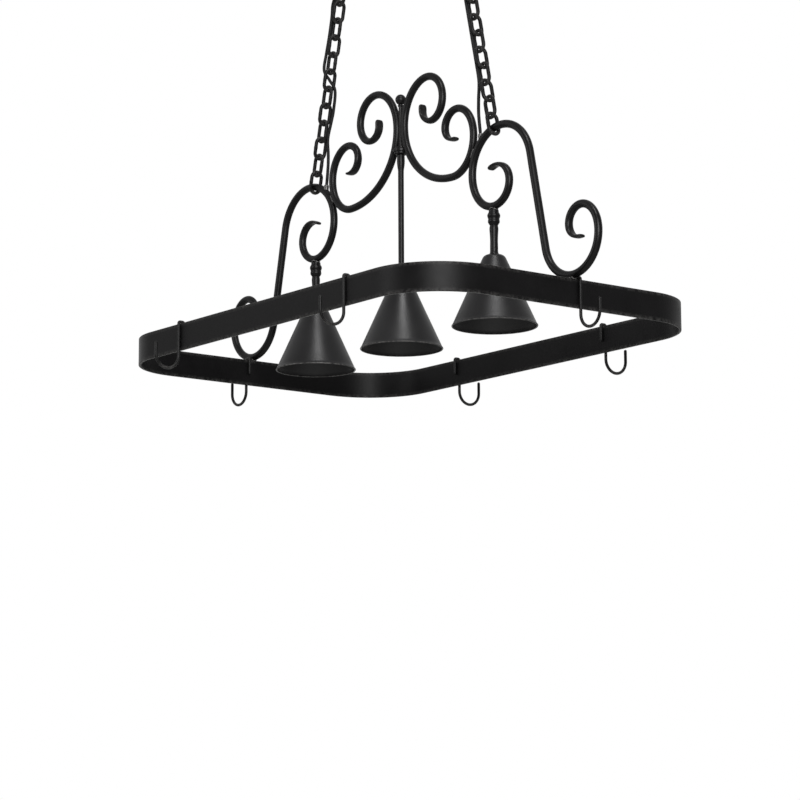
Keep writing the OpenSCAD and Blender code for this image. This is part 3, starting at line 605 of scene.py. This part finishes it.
class POTRACK_OT_welds(PotRackPiece, Operator):
    """Lay the weld beads at the feet, between the scrolls and at the lamp loops"""

    bl_idname = "potrack.welds"
    bl_label = "Welds"

    def execute(self, context):
        foot_half, foot_apart, seam_half, seam_apart = 5.8, 3.1, 9, 3.0
        y = np.linspace(-foot_half, foot_half, 30)
        apart = np.linalg.norm(S_LINE[:, None] - C_LINE[None], axis=2)
        i, j = np.unravel_index(apart.argmin(), apart.shape)
        touch = (S_LINE[i] + C_LINE[j]) / 2
        seam = touch + unit(S_LINE[i + 1] - S_LINE[i - 1]) * np.linspace(-seam_half, seam_half, 40)[:, None]
        a = np.linspace(0, 2 * np.pi, 60)
        ring_x, ring_y = 8.3 * np.cos(a), 6.2 * np.sin(a)
        # The feet's and loops' beads lie just below the bar's round underside
        under_foot = FOOT[1] - np.sqrt(BAR_R ** 2 - y ** 2) - 0.2
        under_loop = LOOP_Z - np.sqrt(BAR_R ** 2 - ring_y ** 2) - 0.3
        beads = []
        for _, side in SIDES:
            for step in (-1, 1):
                foot = np.stack([FOOT[0] + step * foot_apart + 0 * y, y, under_foot], 1)
                beads.append(bead(mirrored(foot, side), 1.5, side=(1, 0, 0)))
                beads.append(bead(mirrored(seam + step * seam_apart * BACK, side), 2.1))
            ring = np.stack([side * LAMP_X + ring_x, ring_y, under_loop], 1)
            beads.append(bead(ring, 1.4, side=UPRIGHT))
        finished(shell("weld_beads", beads, 80), "weld", "rack")
        return {"FINISHED"}


def thread_end(x, steps):
    """The threaded end of a lamp's tube, from inside the shade to just above its top."""
    low, high = SHADE_TOP - THREAD_REACH, SHADE_TOP + 1
    return lathe(rounded([(0, low), (THREAD_R, low), (THREAD_R, high), (0, high)], 0.5), x, steps)


class POTRACK_OT_hub(PotRackPiece, Operator):
    """Turn the finial and the centre stem, and finish the hub"""

    bl_idname = "potrack.hub"
    bl_label = "Hub and finial"

    def execute(self, context):
        rod, ball, tube, head = 4.0, 10.0, 5.4, 30
        foot, peak = heights("centre_finial")
        y, under = middle_of("centre_finial")[1], peak - 2 * ball
        neck = [(0, foot), (rod, foot), (rod, under - 4), (rod + 1.6, under - 2.5), (rod + 1.6, under - 1),
                (rod - 0.6, under + 1.2), (0, under + 1.2)]
        a = np.linspace(0, np.pi, 25)
        sphere = np.stack([ball * np.sin(a), under + ball - ball * np.cos(a)], 1)
        parts = [lathe(rounded(neck, 0.8), 0, 48, y, 0.2), lathe(sphere, 0, 48, y, 0.2)]
        finished(shell("finial_turned", parts, 50), "iron", "rack", "centre_finial")
        top = SHADE_TOP + CLEAR
        stem = [(0, top), (tube + 2.6, top), (tube + 2.6, SHADE_TOP + 2), (tube, SHADE_TOP + 7)]
        # How much wider than the tube its head is, and how far down
        stem += [(tube + wider, HUB_Z - head * down) for wider, down in (
            (0, 1.05), (0.3, 0.96), (0.9, 0.83), (1.5, 0.68), (1.9, 0.52), (2, 0.38), (1.8, 0.2))]
        stem += [(tube + 1.7, HUB_Z - CLEAR), (THREAD_R, HUB_Z - CLEAR), (THREAD_R, HUB_Z + 11), (0, HUB_Z + 11)]
        piece = shell("centre_stem_tube", [lathe(rounded(stem, 0.7), 0), thread_end(0, 96)], 40)
        finished(piece, "iron", "rack", "centre_stem")
        kept("iron", "centre_hub")
        return {"FINISHED"}


class POTRACK_OT_stems(PotRackPiece, Operator):
    """Turn the couplings and stems under the two lamp loops"""

    bl_idname = "potrack.stems"
    bl_label = "Lamp stems"

    def execute(self, context):
        high, bore = 28, 12  # of the coupling, and of the threaded hole in its foot
        z = LOOP_Z - BAR_R - CLEAR - high
        foot, rise = SHADE_TOP + CLEAR, z - SHADE_TOP - 2 * CLEAR
        # Radii of the coupling and of the stem, and how far up each stands
        turning = ((7.4, 0), (8.6, 0.065), (9.8, 0.13), (10.6, 0.19), (10.7, 0.26), (10.3, 0.335), (10.1, 0.4),
                   (10.5, 0.465), (11.3, 0.535), (11.7, 0.605), (11.5, 0.68), (10.6, 0.75), (9.4, 0.82), (9, 0.89),
                   (9, 0.95), (8.6, 1))
        coupling = [(BORE_R, z)] + [(r, z + up * high) for r, up in turning]
        coupling += [(0, z + high), (0, z + bore), (BORE_R, z + bore)]
        turning = ((7.2, 0.12), (7.2, 0.3), (7, 0.45), (7.2, 0.6), (7.5, 0.7), (7.9, 0.8), (8.1, 0.87), (7.9, 0.93),
                   (7.4, 0.98), (7.3, 1))
        stem = [(0, foot), (9, foot), (9, foot + 1.2), (7.6, foot + 3.5)]
        stem += [(r, foot + up * rise) for r, up in turning]
        stem += [(THREAD_R, foot + rise), (THREAD_R, z + bore - 2), (0, z + bore - 2)]
        for name, side in SIDES:
            x = side * LAMP_X
            piece = shell(f"{name}_coupling_turned", [lathe(rounded(coupling, 0.6), x, 64)], 40)
            finished(piece, "iron", "rack", f"{name}_coupling")
            piece = shell(f"{name}_stem_turned", [lathe(rounded(stem, 0.7), x, 64), thread_end(x, 48)], 40)
            finished(piece, "iron", "rack", f"{name}_stem")
        return {"FINISHED"}


def cone_side(wall, count=14, edge=1.6):
    """Outline of the shade from its flat top, round the shoulder and down the cone, drawn in by the wall."""
    slope = (SHADE_R - SHADE_NECK) / SHADE_H
    slant, bend_r = math.hypot(1, slope), SHOULDER - wall
    middle = np.array([SHADE_NECK + slope * SHOULDER - SHOULDER * slant, SHADE_H - SHOULDER])
    a = np.linspace(0, math.atan2(1, slope), count)
    arc = middle + bend_r * np.stack([np.sin(a), np.cos(a)], 1)
    foot = np.array([SHADE_R - wall * slant - slope * edge, edge])
    return np.concatenate([arc, arc[-1] + (foot - arc[-1]) * np.linspace(0, 1, 24)[1:, None]])


class POTRACK_OT_shades(PotRackPiece, Operator):
    """Spin the shades with a rolled rim, and fit their nuts, lampholders and threaded shells"""

    bl_idname = "potrack.shades"
    bl_label = "Shades"

    def execute(self, context):
        wall, = measures(context, "shade_wall")
        a, roll, rubbed = np.radians(np.linspace(70, -205, 22)), 1.3, 1.6
        rolled = np.stack([SHADE_R - 0.7 + roll * np.cos(a), roll * np.sin(a)], 1)
        outline = np.concatenate([[[BORE_R, SHADE_H]], cone_side(0), rolled, cone_side(wall)[::-1],
                                  [[BORE_R, SHADE_H - wall]]])
        # The rolled rims are paled towards bare steel: a painted highlight along the rim as well as wear.
        worn = np.clip(1 - np.abs(outline[:, 1] + 0.4) / rubbed, 0, 1)
        for name, x in LAMPS:
            piece = shell(f"{name}_shade_spun", [lathe(outline + [0, SHADE_Z], x, 128, worn=worn)], 55)
            finished(piece, "shade", "rack", f"{name}_shade", slot="shade_enamel")
            self.socket(name, x)
            kept("zinc", f"{name}_shade_nut")
        return {"FINISHED"}

    def socket(self, name, x):
        """The lampholder with its ribs, and the brass shell whose wall is r + d cos(turns - angle)."""
        low, high = heights(f"{name}_lampholder")
        mouth, ribs, deep, roof = 13.9, 19, high - low, 30.5
        body = np.array([
            (mouth, 0), (18, 0), (ribs, 1), (ribs, 17), (18, 19), (18, 21), (ribs, 22), (ribs, deep - 12),
            (16, deep - 6), (10, deep), (BORE_R, deep), (BORE_R, deep - 10), (5, deep - 10), (5, roof), (mouth, roof)])
        piece = shell(f"{name}_lampholder_moulded", [lathe(rounded(body + [0, low], 0.7), x, 72)], 40)
        finished(piece, "holder", "rack", f"{name}_lampholder", slot="lampholder_phenolic")
        low, high = heights(f"{name}_screw_shell")
        outer, inner, contact, depth, pitch = 13.8, 13.3, 6.0, 0.24, 3.6
        u = angles(96)[:, None]
        z, flat = np.linspace(low, high - 0.6, 90) + 0 * u, 0 * u
        thread = depth * np.cos(2 * np.pi * z / pitch - u) - depth
        thread = thread * np.clip((z - low) / 1.5, 0, 1) * np.clip((high - z) / 2.5, 0, 1)
        r = np.concatenate([outer + thread, contact + flat, contact + flat, inner + thread[:, ::-1]], 1)
        up = np.concatenate([z, high + flat, high - 0.5 + flat, z[:, ::-1]], 1)
        grid = np.stack([x + r * np.cos(u), r * np.sin(u), up], -1)
        piece = shell(f"{name}_threaded_shell", [(grid, True, 0.0)], 40)
        finished(piece, "brass", "rack", f"{name}_screw_shell", slot="screw_shell_brass")


def hook_line(width, wire, crown, drop_z, crown_z=50.6, short=27.0, free=20.0):
    """A hook's line in its own plane: up behind the band, square over it, down the front, round and up again."""

    def arc(cx, cz, r, a0, a1, n):
        a = np.radians(np.linspace(a0, a1, n))
        return np.stack([cx + r * np.cos(a), cz + r * np.sin(a)], 1)

    def leg(x, z0, z1, n):
        return np.stack([np.full(n, x), np.linspace(z0, z1, n)], 1)

    half, tight = width / 2, wire + 0.3
    return np.concatenate([
        leg(-crown, crown_z - short - wire, crown_z, 12)[:-1], arc(tight - crown, crown_z, tight, 180, 90, 12),
        arc(crown - tight, crown_z, tight, 90, 0, 12)[:-1], leg(crown, crown_z, drop_z, 24)[:-1],
        arc(crown + half, drop_z, half, 180, 360, 48)[:-1], leg(crown + width, drop_z, drop_z + free + wire, 14)])


class POTRACK_OT_hooks(PotRackPiece, Operator):
    """Bend the pan hooks from wire"""

    bl_idname = "potrack.hooks"
    bl_label = "Hooks"

    def execute(self, context):
        wire, width, band = measures(context, "hook_wire", "hook_width", "rim_bar")
        wire, drop, play = wire / 2, -38, 0.3  # radius, lowest inside of the bend, space beside the band
        line = hook_line(width, wire, band / 2 + play + wire, drop + wire + width / 2)
        band_middle = np.array(RIM_HIGH) / MM - band / 2
        for name in ("front_left", "front_right", "back_left", "back_right", "left_end", "right_end"):
            axis = 0 if name.endswith("end") else 1
            at, way = middle_of(f"{name}_hook") * [1, 1, 0], np.zeros(3)
            way[axis] = np.sign(at[axis])
            at[axis] = way[axis] * band_middle[axis]
            path = with_ends(at + line[:, :1] * way + line[:, 1:] * UPRIGHT, wire)
            thick = wire * domed(run_of(path), wire)
            crown, saddle = (np.exp(-((path[:, 2] - z) / 5) ** 2) for z in (56, -35))
            worn = np.clip(0.5 * crown + 0.8 * saddle + 0.1, 0, 1)
            piece = shell(f"{name}_hook_wire", [bar(path, thick, thick, np.cross(way, UPRIGHT), 18, worn=worn)], 60)
            finished(piece, "wire", f"{name}_hook", f"{name}_hook", slot="hook_black")
        return {"FINISHED"}


CHAIN_TURN, LEAN = 13, math.radians(13)  # where a chain holds the shoulder, and its lean from upright
PITCH, FIRST_LINK = 33.3, -BAR_R - 0.8  # from link to link, and where the first link starts


def chain_axes(side):
    """Where a chain starts on the shoulder, the way up it, and the way outwards from it."""
    x, z, _ = on_shoulder(CHAIN_TURN)
    return [mirrored(vector, side) for vector in (
        (x, 0, z), (-math.sin(LEAN), 0, math.cos(LEAN)), (math.cos(LEAN), 0, math.sin(LEAN)))]


def link_line(half, straight, bend_steps=20, leg_steps=9):
    """A link's closed line: two half circles joined by two legs."""
    a = np.linspace(0, np.pi, bend_steps)
    top = np.stack([half * np.cos(a), straight + half * np.sin(a)], 1)
    leg = np.stack([np.full(leg_steps, -half), np.linspace(straight, -straight, leg_steps + 2)[1:-1]], 1)
    return np.concatenate([top, leg, -top, -leg])


class POTRACK_OT_chains(PotRackPiece, Operator):
    """Bend and weld the chains' links"""

    bl_idname = "potrack.chains"
    bl_label = "Chains"

    def execute(self, context):
        wire, inside, opening = measures(context, "link_wire", "link_inside", "link_opening")
        wire /= 2
        half, weld_reach, weld_height = opening / 2 + wire, 2.1, 0.09
        line = link_line(half, (inside - opening) / 2)
        weld = (line[:, 0] < -half * 0.98) * np.exp(-(line[:, 1] / weld_reach) ** 2)
        thick = wire * (1 + weld_height * weld)
        worn = np.clip((np.abs(line[:, 1]) / (inside / 2) - 0.75) * 3, 0, 1) * 0.7
        for name, side in SIDES:
            start, up, out = chain_axes(side)
            links = []
            for k in range(context.scene.rack_sizes.links):
                flat, across = (out, BACK) if k % 2 else (BACK, out)
                centre = start + up * (FIRST_LINK + k * PITCH + inside / 2)
                path = centre + line[:, :1] * flat + line[:, 1:] * up
                links.append(bar(path, thick, thick, across, 16, closed=True, worn=worn))
            piece = shell(f"{name}_chain_links", links[:-1], 60)
            finished(piece, "wire", f"{name}_chain", f"{name}_chain", slot="chain_black")
            piece = shell(f"{name}_top_link_wire", links[-1:], 60)
            finished(piece, "wire", f"{name}_upper_link", f"{name}_top_link", slot="chain_black")
        return {"FINISHED"}


class POTRACK_OT_ceiling(PotRackPiece, Operator):
    """Press the canopies and turn the loops under them"""

    bl_idname = "potrack.ceiling"
    bl_label = "Canopies"

    def execute(self, context):
        flat, deep, wall, rim, rubbed = 38.0, 25.0, 1.2, 63.5, 1.5
        wire, ring_r = 3.5, 12.5
        a = np.linspace(0, np.pi / 2, 28)
        outer, inner = (np.stack([flat + (rim - flat - inset) * np.sin(a), CEILING - (deep - inset) * np.cos(a)], 1)
                        for inset in (0, wall))
        outline = np.concatenate([[[BORE_R, CEILING - deep]], outer, inner[::-1], [[BORE_R, CEILING - deep + wall]]])
        worn = np.clip(1 - np.abs(CEILING - outline[:, 1]) / rubbed, 0, 1)
        t = angles(72)
        collar = np.array([(0, 0), (5.2, 0), (8, 2.5), (11, 5), (11, 12), (10, 13), (0, 13)])
        for name, side in SIDES:
            x = side * CANOPY_X
            piece = shell(f"{name}_canopy_pressed", [lathe(outline, x, 128, worn=worn)], 40)
            self.cord_hole(piece, x - side * CORD_IN, CORD_Y, CEILING - deep)
            finished(piece, "iron", "ceiling_fittings", f"{name}_canopy")
            z = heights(f"{name}_collar_loop")[0] + ring_r + wire
            ring = np.stack([x + 0 * t, ring_r * np.cos(t), z + ring_r * np.sin(t)], 1)
            turned = rounded(collar + [0, z + ring_r - 1], 0.8)
            parts = [bar(ring, wire, wire, (1, 0, 0), 16, closed=True), lathe(turned, x, 64)]
            finished(shell(f"{name}_loop_turned", parts, 45), "iron", "ceiling_fittings", f"{name}_collar_loop")
            kept("zinc", f"{name}_ceiling_strap", f"{name}_nipple", f"{name}_lock_nut")
            kept("holder", f"{name}_canopy_bushing", f"{name}_cord_bushing")
        return {"FINISHED"}

    def cord_hole(self, piece, x, y, z, radius=4.8):
        """Cuts the cord's hole through the canopy's flat, with a round punch that is thrown away."""
        punch = shell("cord_hole_punch", [lathe([(0, z - 3), (radius, z - 3), (radius, z + 4), (0, z + 4)], x, 40, y)])
        cut = piece.modifiers.new("cord_hole", "BOOLEAN")
        cut.operation, cut.solver, cut.object = "DIFFERENCE", "EXACT", punch
        seen = bpy.context.evaluated_depsgraph_get()
        holed = bpy.data.meshes.new_from_object(piece.evaluated_get(seen))
        piece.modifiers.clear()
        piece.data = holed
        bpy.data.objects.remove(punch)


# Points of the cords' routes: how far up the chain, outwards from it and to the back
RIGHT_ROUTE = ((42, -32, -1), (66, -20, -6), (96, -9, -8), *((up, -8, -8) for up in (130, 170, 210, 250, 290, 325)),
               (358, -10, -8.5), (385, -16, -8))
LEFT_ROUTE = ((42, -32, 1), (66, -20, 6), (96, -9, 8), (130, -9.2, 10.7), (152, -9.3, 12.1), (190, -8.9, 9.7),
              (208.6, 0, 0), (226.8, 10, -8.9), (260, 13, -6.8), (291, 8.5, -8.6), (330.4, 9.9, -7.6), (355, 8.9, -9.9),
              (373.2, 0.3, -10.3), (389, -14.6, -7.8))
ENTRY_TURN, ENTRY_LEAN = 41, math.radians(100)  # where a cord leaves its bar, and its lean there
CORD_CUTS = (640, 732)  # heights where a cord's stretches meet


def through(points, steps):
    """A smooth curve through the points: a cubic whose slope at each is half the step between its neighbours."""
    p = np.asarray(points, float)
    padded = np.concatenate([p[:1], p, p[-1:]])
    a, b, c, d = padded[:-3, None], padded[1:-2, None], padded[2:-1, None], padded[3:, None]
    t = np.linspace(0, 1, steps, endpoint=False)[None, :, None]
    curve = b + t * ((c - a) / 2 + t * (a - 2.5 * b + 2 * c - d / 2 + t * (1.5 * (b - c) + (d - a) / 2)))
    return np.concatenate([curve.reshape(-1, 3), p[-1:]])


def cord_piece(name, path, thick):
    """A stretch of cord along the path."""
    return shell(name, [bar(path, thick, thick, sides=14)], 60)


class POTRACK_OT_cords(PotRackPiece, Operator):
    """Run the power cords down the chains, cut into stretches at set heights"""

    bl_idname = "potrack.cords"
    bl_label = "Power cords"

    def execute(self, context):
        radius = measures(context, "cord")[0] / 2
        x, z, _ = on_shoulder(ENTRY_TURN)
        for name, side in SIDES:
            start, up, out = chain_axes(side)
            entry = mirrored((x, 0, z), side)
            leave = mirrored((math.cos(ENTRY_LEAN), 0, math.sin(ENTRY_LEAN)), side)
            route = np.array(LEFT_ROUTE if side < 0 else RIGHT_ROUTE, float)
            middle = start + route[:, :1] * up + route[:, 1:2] * out + route[:, 2:] * BACK
            top = [(side * (CANOPY_X - CORD_IN), CORD_Y, CEILING - deep) for deep in (45, 25, 10)]
            first = [entry + reach * leave for reach in (9.5, 18)]
            line = through(np.concatenate([first, middle, top]), 8)
            low_cut, high_cut = (np.abs(line[:, 2] - height).argmin() for height in CORD_CUTS)
            # Stretch, first and last point, the bodies it bends between, and the heights of its bend
            parts = [("middle", low_cut, high_cut + 1, f"{name}_chain", f"{name}_upper_link", 680, 728),
                     ("high", high_cut, len(line), f"{name}_upper_link", "ceiling_fittings", 736, 774)]
            if side < 0:
                parts.append(("low", 0, low_cut + 1, "rack", "left_chain", 362, 470))
            else:
                self.right_foot(line[:low_cut + 1], radius)
            for part, begin, end, lower, upper, z0, z1 in parts:
                piece = cord_piece(f"{name}_cord_{part}", line[begin:end], radius)
                finished(piece, "jacket", None, f"{name}_cord", slot="cord_jacket")
                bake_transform(piece)
        return {"FINISHED"}

    def right_foot(self, line, radius):
        """The right cord's lowest stretch: a thin core that rides on the rack, and above the bushing's mouth the cord,
        which rides on the right chain.

        Its radius is drawn in towards the bushing's mouth: radius - interp(height, mouth..mouth + 7, 0.8..0).
        """
        mouth, core_top, core_r, pinch = 357, 361.5, 1.3, 0.8
        fine = points_at(line, np.arange(0, run_of(line)[-1], 1.0))
        core, above = fine[fine[:, 2] < core_top], fine[fine[:, 2] > mouth]
        above = np.concatenate([above[:12], above[12::4], line[-1:]])
        thick = radius - np.interp(above[:, 2], (mouth, mouth + 7), (pinch, 0))
        finished(cord_piece("right_cord_foot", core, core_r), "jacket", "rack", "right_cord", slot="cord_jacket")
        finished(cord_piece("right_cord_low", above, thick), "jacket", "right_chain", "right_cord", slot="cord_jacket")


# ---- Stage ----

VIEW_TURN, VIEW_TILT, VIEW_ROLL = math.radians(52.5), math.radians(9.6), math.radians(-0.24)
VIEW_DISTANCE, VIEW_ACROSS, VIEW_UP = 5192.07, -3.5, -92.55  # from the rim's middle, in millimetres
LENS, SENSOR = 126.877, 36.0
AIM_HEIGHT = 150  # where the lamps point, above the rim
FLOOR_GLOW, GREY_LEVEL, WHITE_LEVEL = 0.3, 0.32, 1.0
CEILING_HEIGHT, FLOOR_RADIUS = 2.44, 9  # of the room, in metres


def stood(name, data, right, up, away, place):
    """A camera or lamp that looks against the way called away."""
    turned = np.eye(4)
    turned[:3] = np.stack([right, up, away, place], 1)
    holder = shown(name, data)
    holder.matrix_world = Matrix(turned.tolist())
    return holder


def lamp(name, place, aim, size, watts):
    """A square soft lamp at a place, turned towards a point."""
    light = bpy.data.lights.new(name, "AREA")
    light.shape, light.size, light.energy = "SQUARE", size, watts
    away = unit(place - aim)
    right = unit(np.cross(UPRIGHT, away))
    stood(name, light, right, np.cross(away, right), away, place)


class POTRACK_OT_stage(PotRackPiece, Operator):
    """Set up the camera, the soft lamps, the pale floor and the white surround"""

    bl_idname = "potrack.stage"
    bl_label = "Stage"

    def execute(self, context):
        scene = context.scene
        self.camera(scene)
        aim = placed([0, 0, AIM_HEIGHT])
        for name, turn, rise, away, size, watts in (
                ("side_lamp", -72, 14, 4.0, 2.0, 78),
                ("front_lamp", 6, 12, 4.5, 2.3, 420),
                ("high_lamp", 9, 58, 3.5, 1.0, 112)):
            turn, rise = VIEW_TURN - math.pi / 2 + math.radians(turn), math.radians(rise)
            ray = np.array([math.cos(turn) * math.cos(rise), math.sin(turn) * math.cos(rise), math.sin(rise)])
            lamp(name, aim + away * ray, aim, size, watts)
        self.floor(scene)
        self.surround(scene)
        scene.view_settings.view_transform = "Standard"
        return {"FINISHED"}

    def camera(self, scene):
        """The photograph's camera: turned about the upright, tilted, then rolled about its own line of sight."""
        c, s = math.cos(VIEW_TURN), math.sin(VIEW_TURN)
        forward = np.array([-s * math.cos(VIEW_TILT), c * math.cos(VIEW_TILT), math.sin(VIEW_TILT)])
        right = np.array([c, s, 0.0])
        up = np.cross(right, forward)
        place = placed(-forward * VIEW_DISTANCE + right * VIEW_ACROSS + up * VIEW_UP)
        camera = bpy.data.cameras.new("photo_camera")
        camera.lens, camera.sensor_width, camera.clip_end = LENS, SENSOR, 100
        c, s = math.cos(VIEW_ROLL), math.sin(VIEW_ROLL)
        scene.camera = stood("photo_camera", camera, c * right + s * up, c * up - s * right, -forward, place)

    def floor(self, scene):
        """A wide round floor under a room-high rack."""
        a = angles(96)
        mesh = bpy.data.meshes.new("floor")
        ring = np.stack([FLOOR_RADIUS * np.cos(a), FLOOR_RADIUS * np.sin(a), 0 * a - CEILING_HEIGHT], 1)
        mesh.from_pydata(ring.tolist(), [], [list(range(len(a)))])
        material, tree, shader = principled("studio_floor")
        tint = (*scene.rack_finish.floor, 1)
        seen = tree.nodes.new("ShaderNodeLightPath").outputs["Is Camera Ray"]
        wire_up(tree, shader, {"Base Color": tint, "Roughness": 0.9, "Emission Color": tint,
                               "Emission Strength": sums(tree, "MULTIPLY", seen, FLOOR_GLOW)})
        mesh.materials.append(material)
        floor = shown("floor", mesh)

    def surround(self, scene):
        """White to the camera and in reflections, and a plain grey light on everything else."""
        world = bpy.data.worlds.new("studio")
        world.use_nodes = True
        scene.world = world
        tree = world.node_tree
        tree.nodes.clear()
        path = tree.nodes.new("ShaderNodeLightPath").outputs
        seen = sums(tree, "ADD", path["Is Camera Ray"], path["Is Glossy Ray"])
        seen = sums(tree, "MAXIMUM", seen, path["Is Transmission Ray"])
        grey, white = (node(tree, "ShaderNodeBackground", {"Color": (1, 1, 1, 1), "Strength": strength}).outputs[0]
                       for strength in (GREY_LEVEL, WHITE_LEVEL))
        mix = node(tree, "ShaderNodeMixShader", {0: seen, 1: grey, 2: white})
        node(tree, "ShaderNodeOutputWorld", {"Surface": mix.outputs[0]})


class POTRACK_PT_panel(Panel):
    """Lists the rack's sizes, finishes and pieces"""

    bl_label = "Pot rack"
    bl_idname = "POTRACK_PT_panel"
    bl_space_type = "VIEW_3D"
    bl_region_type = "UI"
    bl_category = "Pot rack"

    def draw(self, context):
        layout = self.layout
        for settings in (context.scene.rack_sizes, context.scene.rack_finish):
            for name in settings.__annotations__:
                layout.prop(settings, name)
        for piece in PIECES:
            layout.operator(piece.bl_idname)


PIECES = (POTRACK_OT_rim, POTRACK_OT_scrolls, POTRACK_OT_welds, POTRACK_OT_hub, POTRACK_OT_stems, POTRACK_OT_shades,
          POTRACK_OT_hooks, POTRACK_OT_chains, POTRACK_OT_ceiling, POTRACK_OT_cords, POTRACK_OT_stage)
CLASSES = (RackSizes, RackFinish, *PIECES, POTRACK_PT_panel)


def register():
    for each in CLASSES:
        bpy.utils.register_class(each)
    bpy.types.Scene.rack_sizes = PointerProperty(type=RackSizes)
    bpy.types.Scene.rack_finish = PointerProperty(type=RackFinish)


def unregister():
    del bpy.types.Scene.rack_finish
    del bpy.types.Scene.rack_sizes
    for each in reversed(CLASSES):
        bpy.utils.unregister_class(each)


def main():
    """Registers the add-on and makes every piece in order."""
    register()
    make_finishes(bpy.context.scene.rack_finish)
    for piece in PIECES:
        getattr(bpy.ops.potrack, piece.bl_idname.split(".")[1])()


if __name__ == "__main__":
    main()
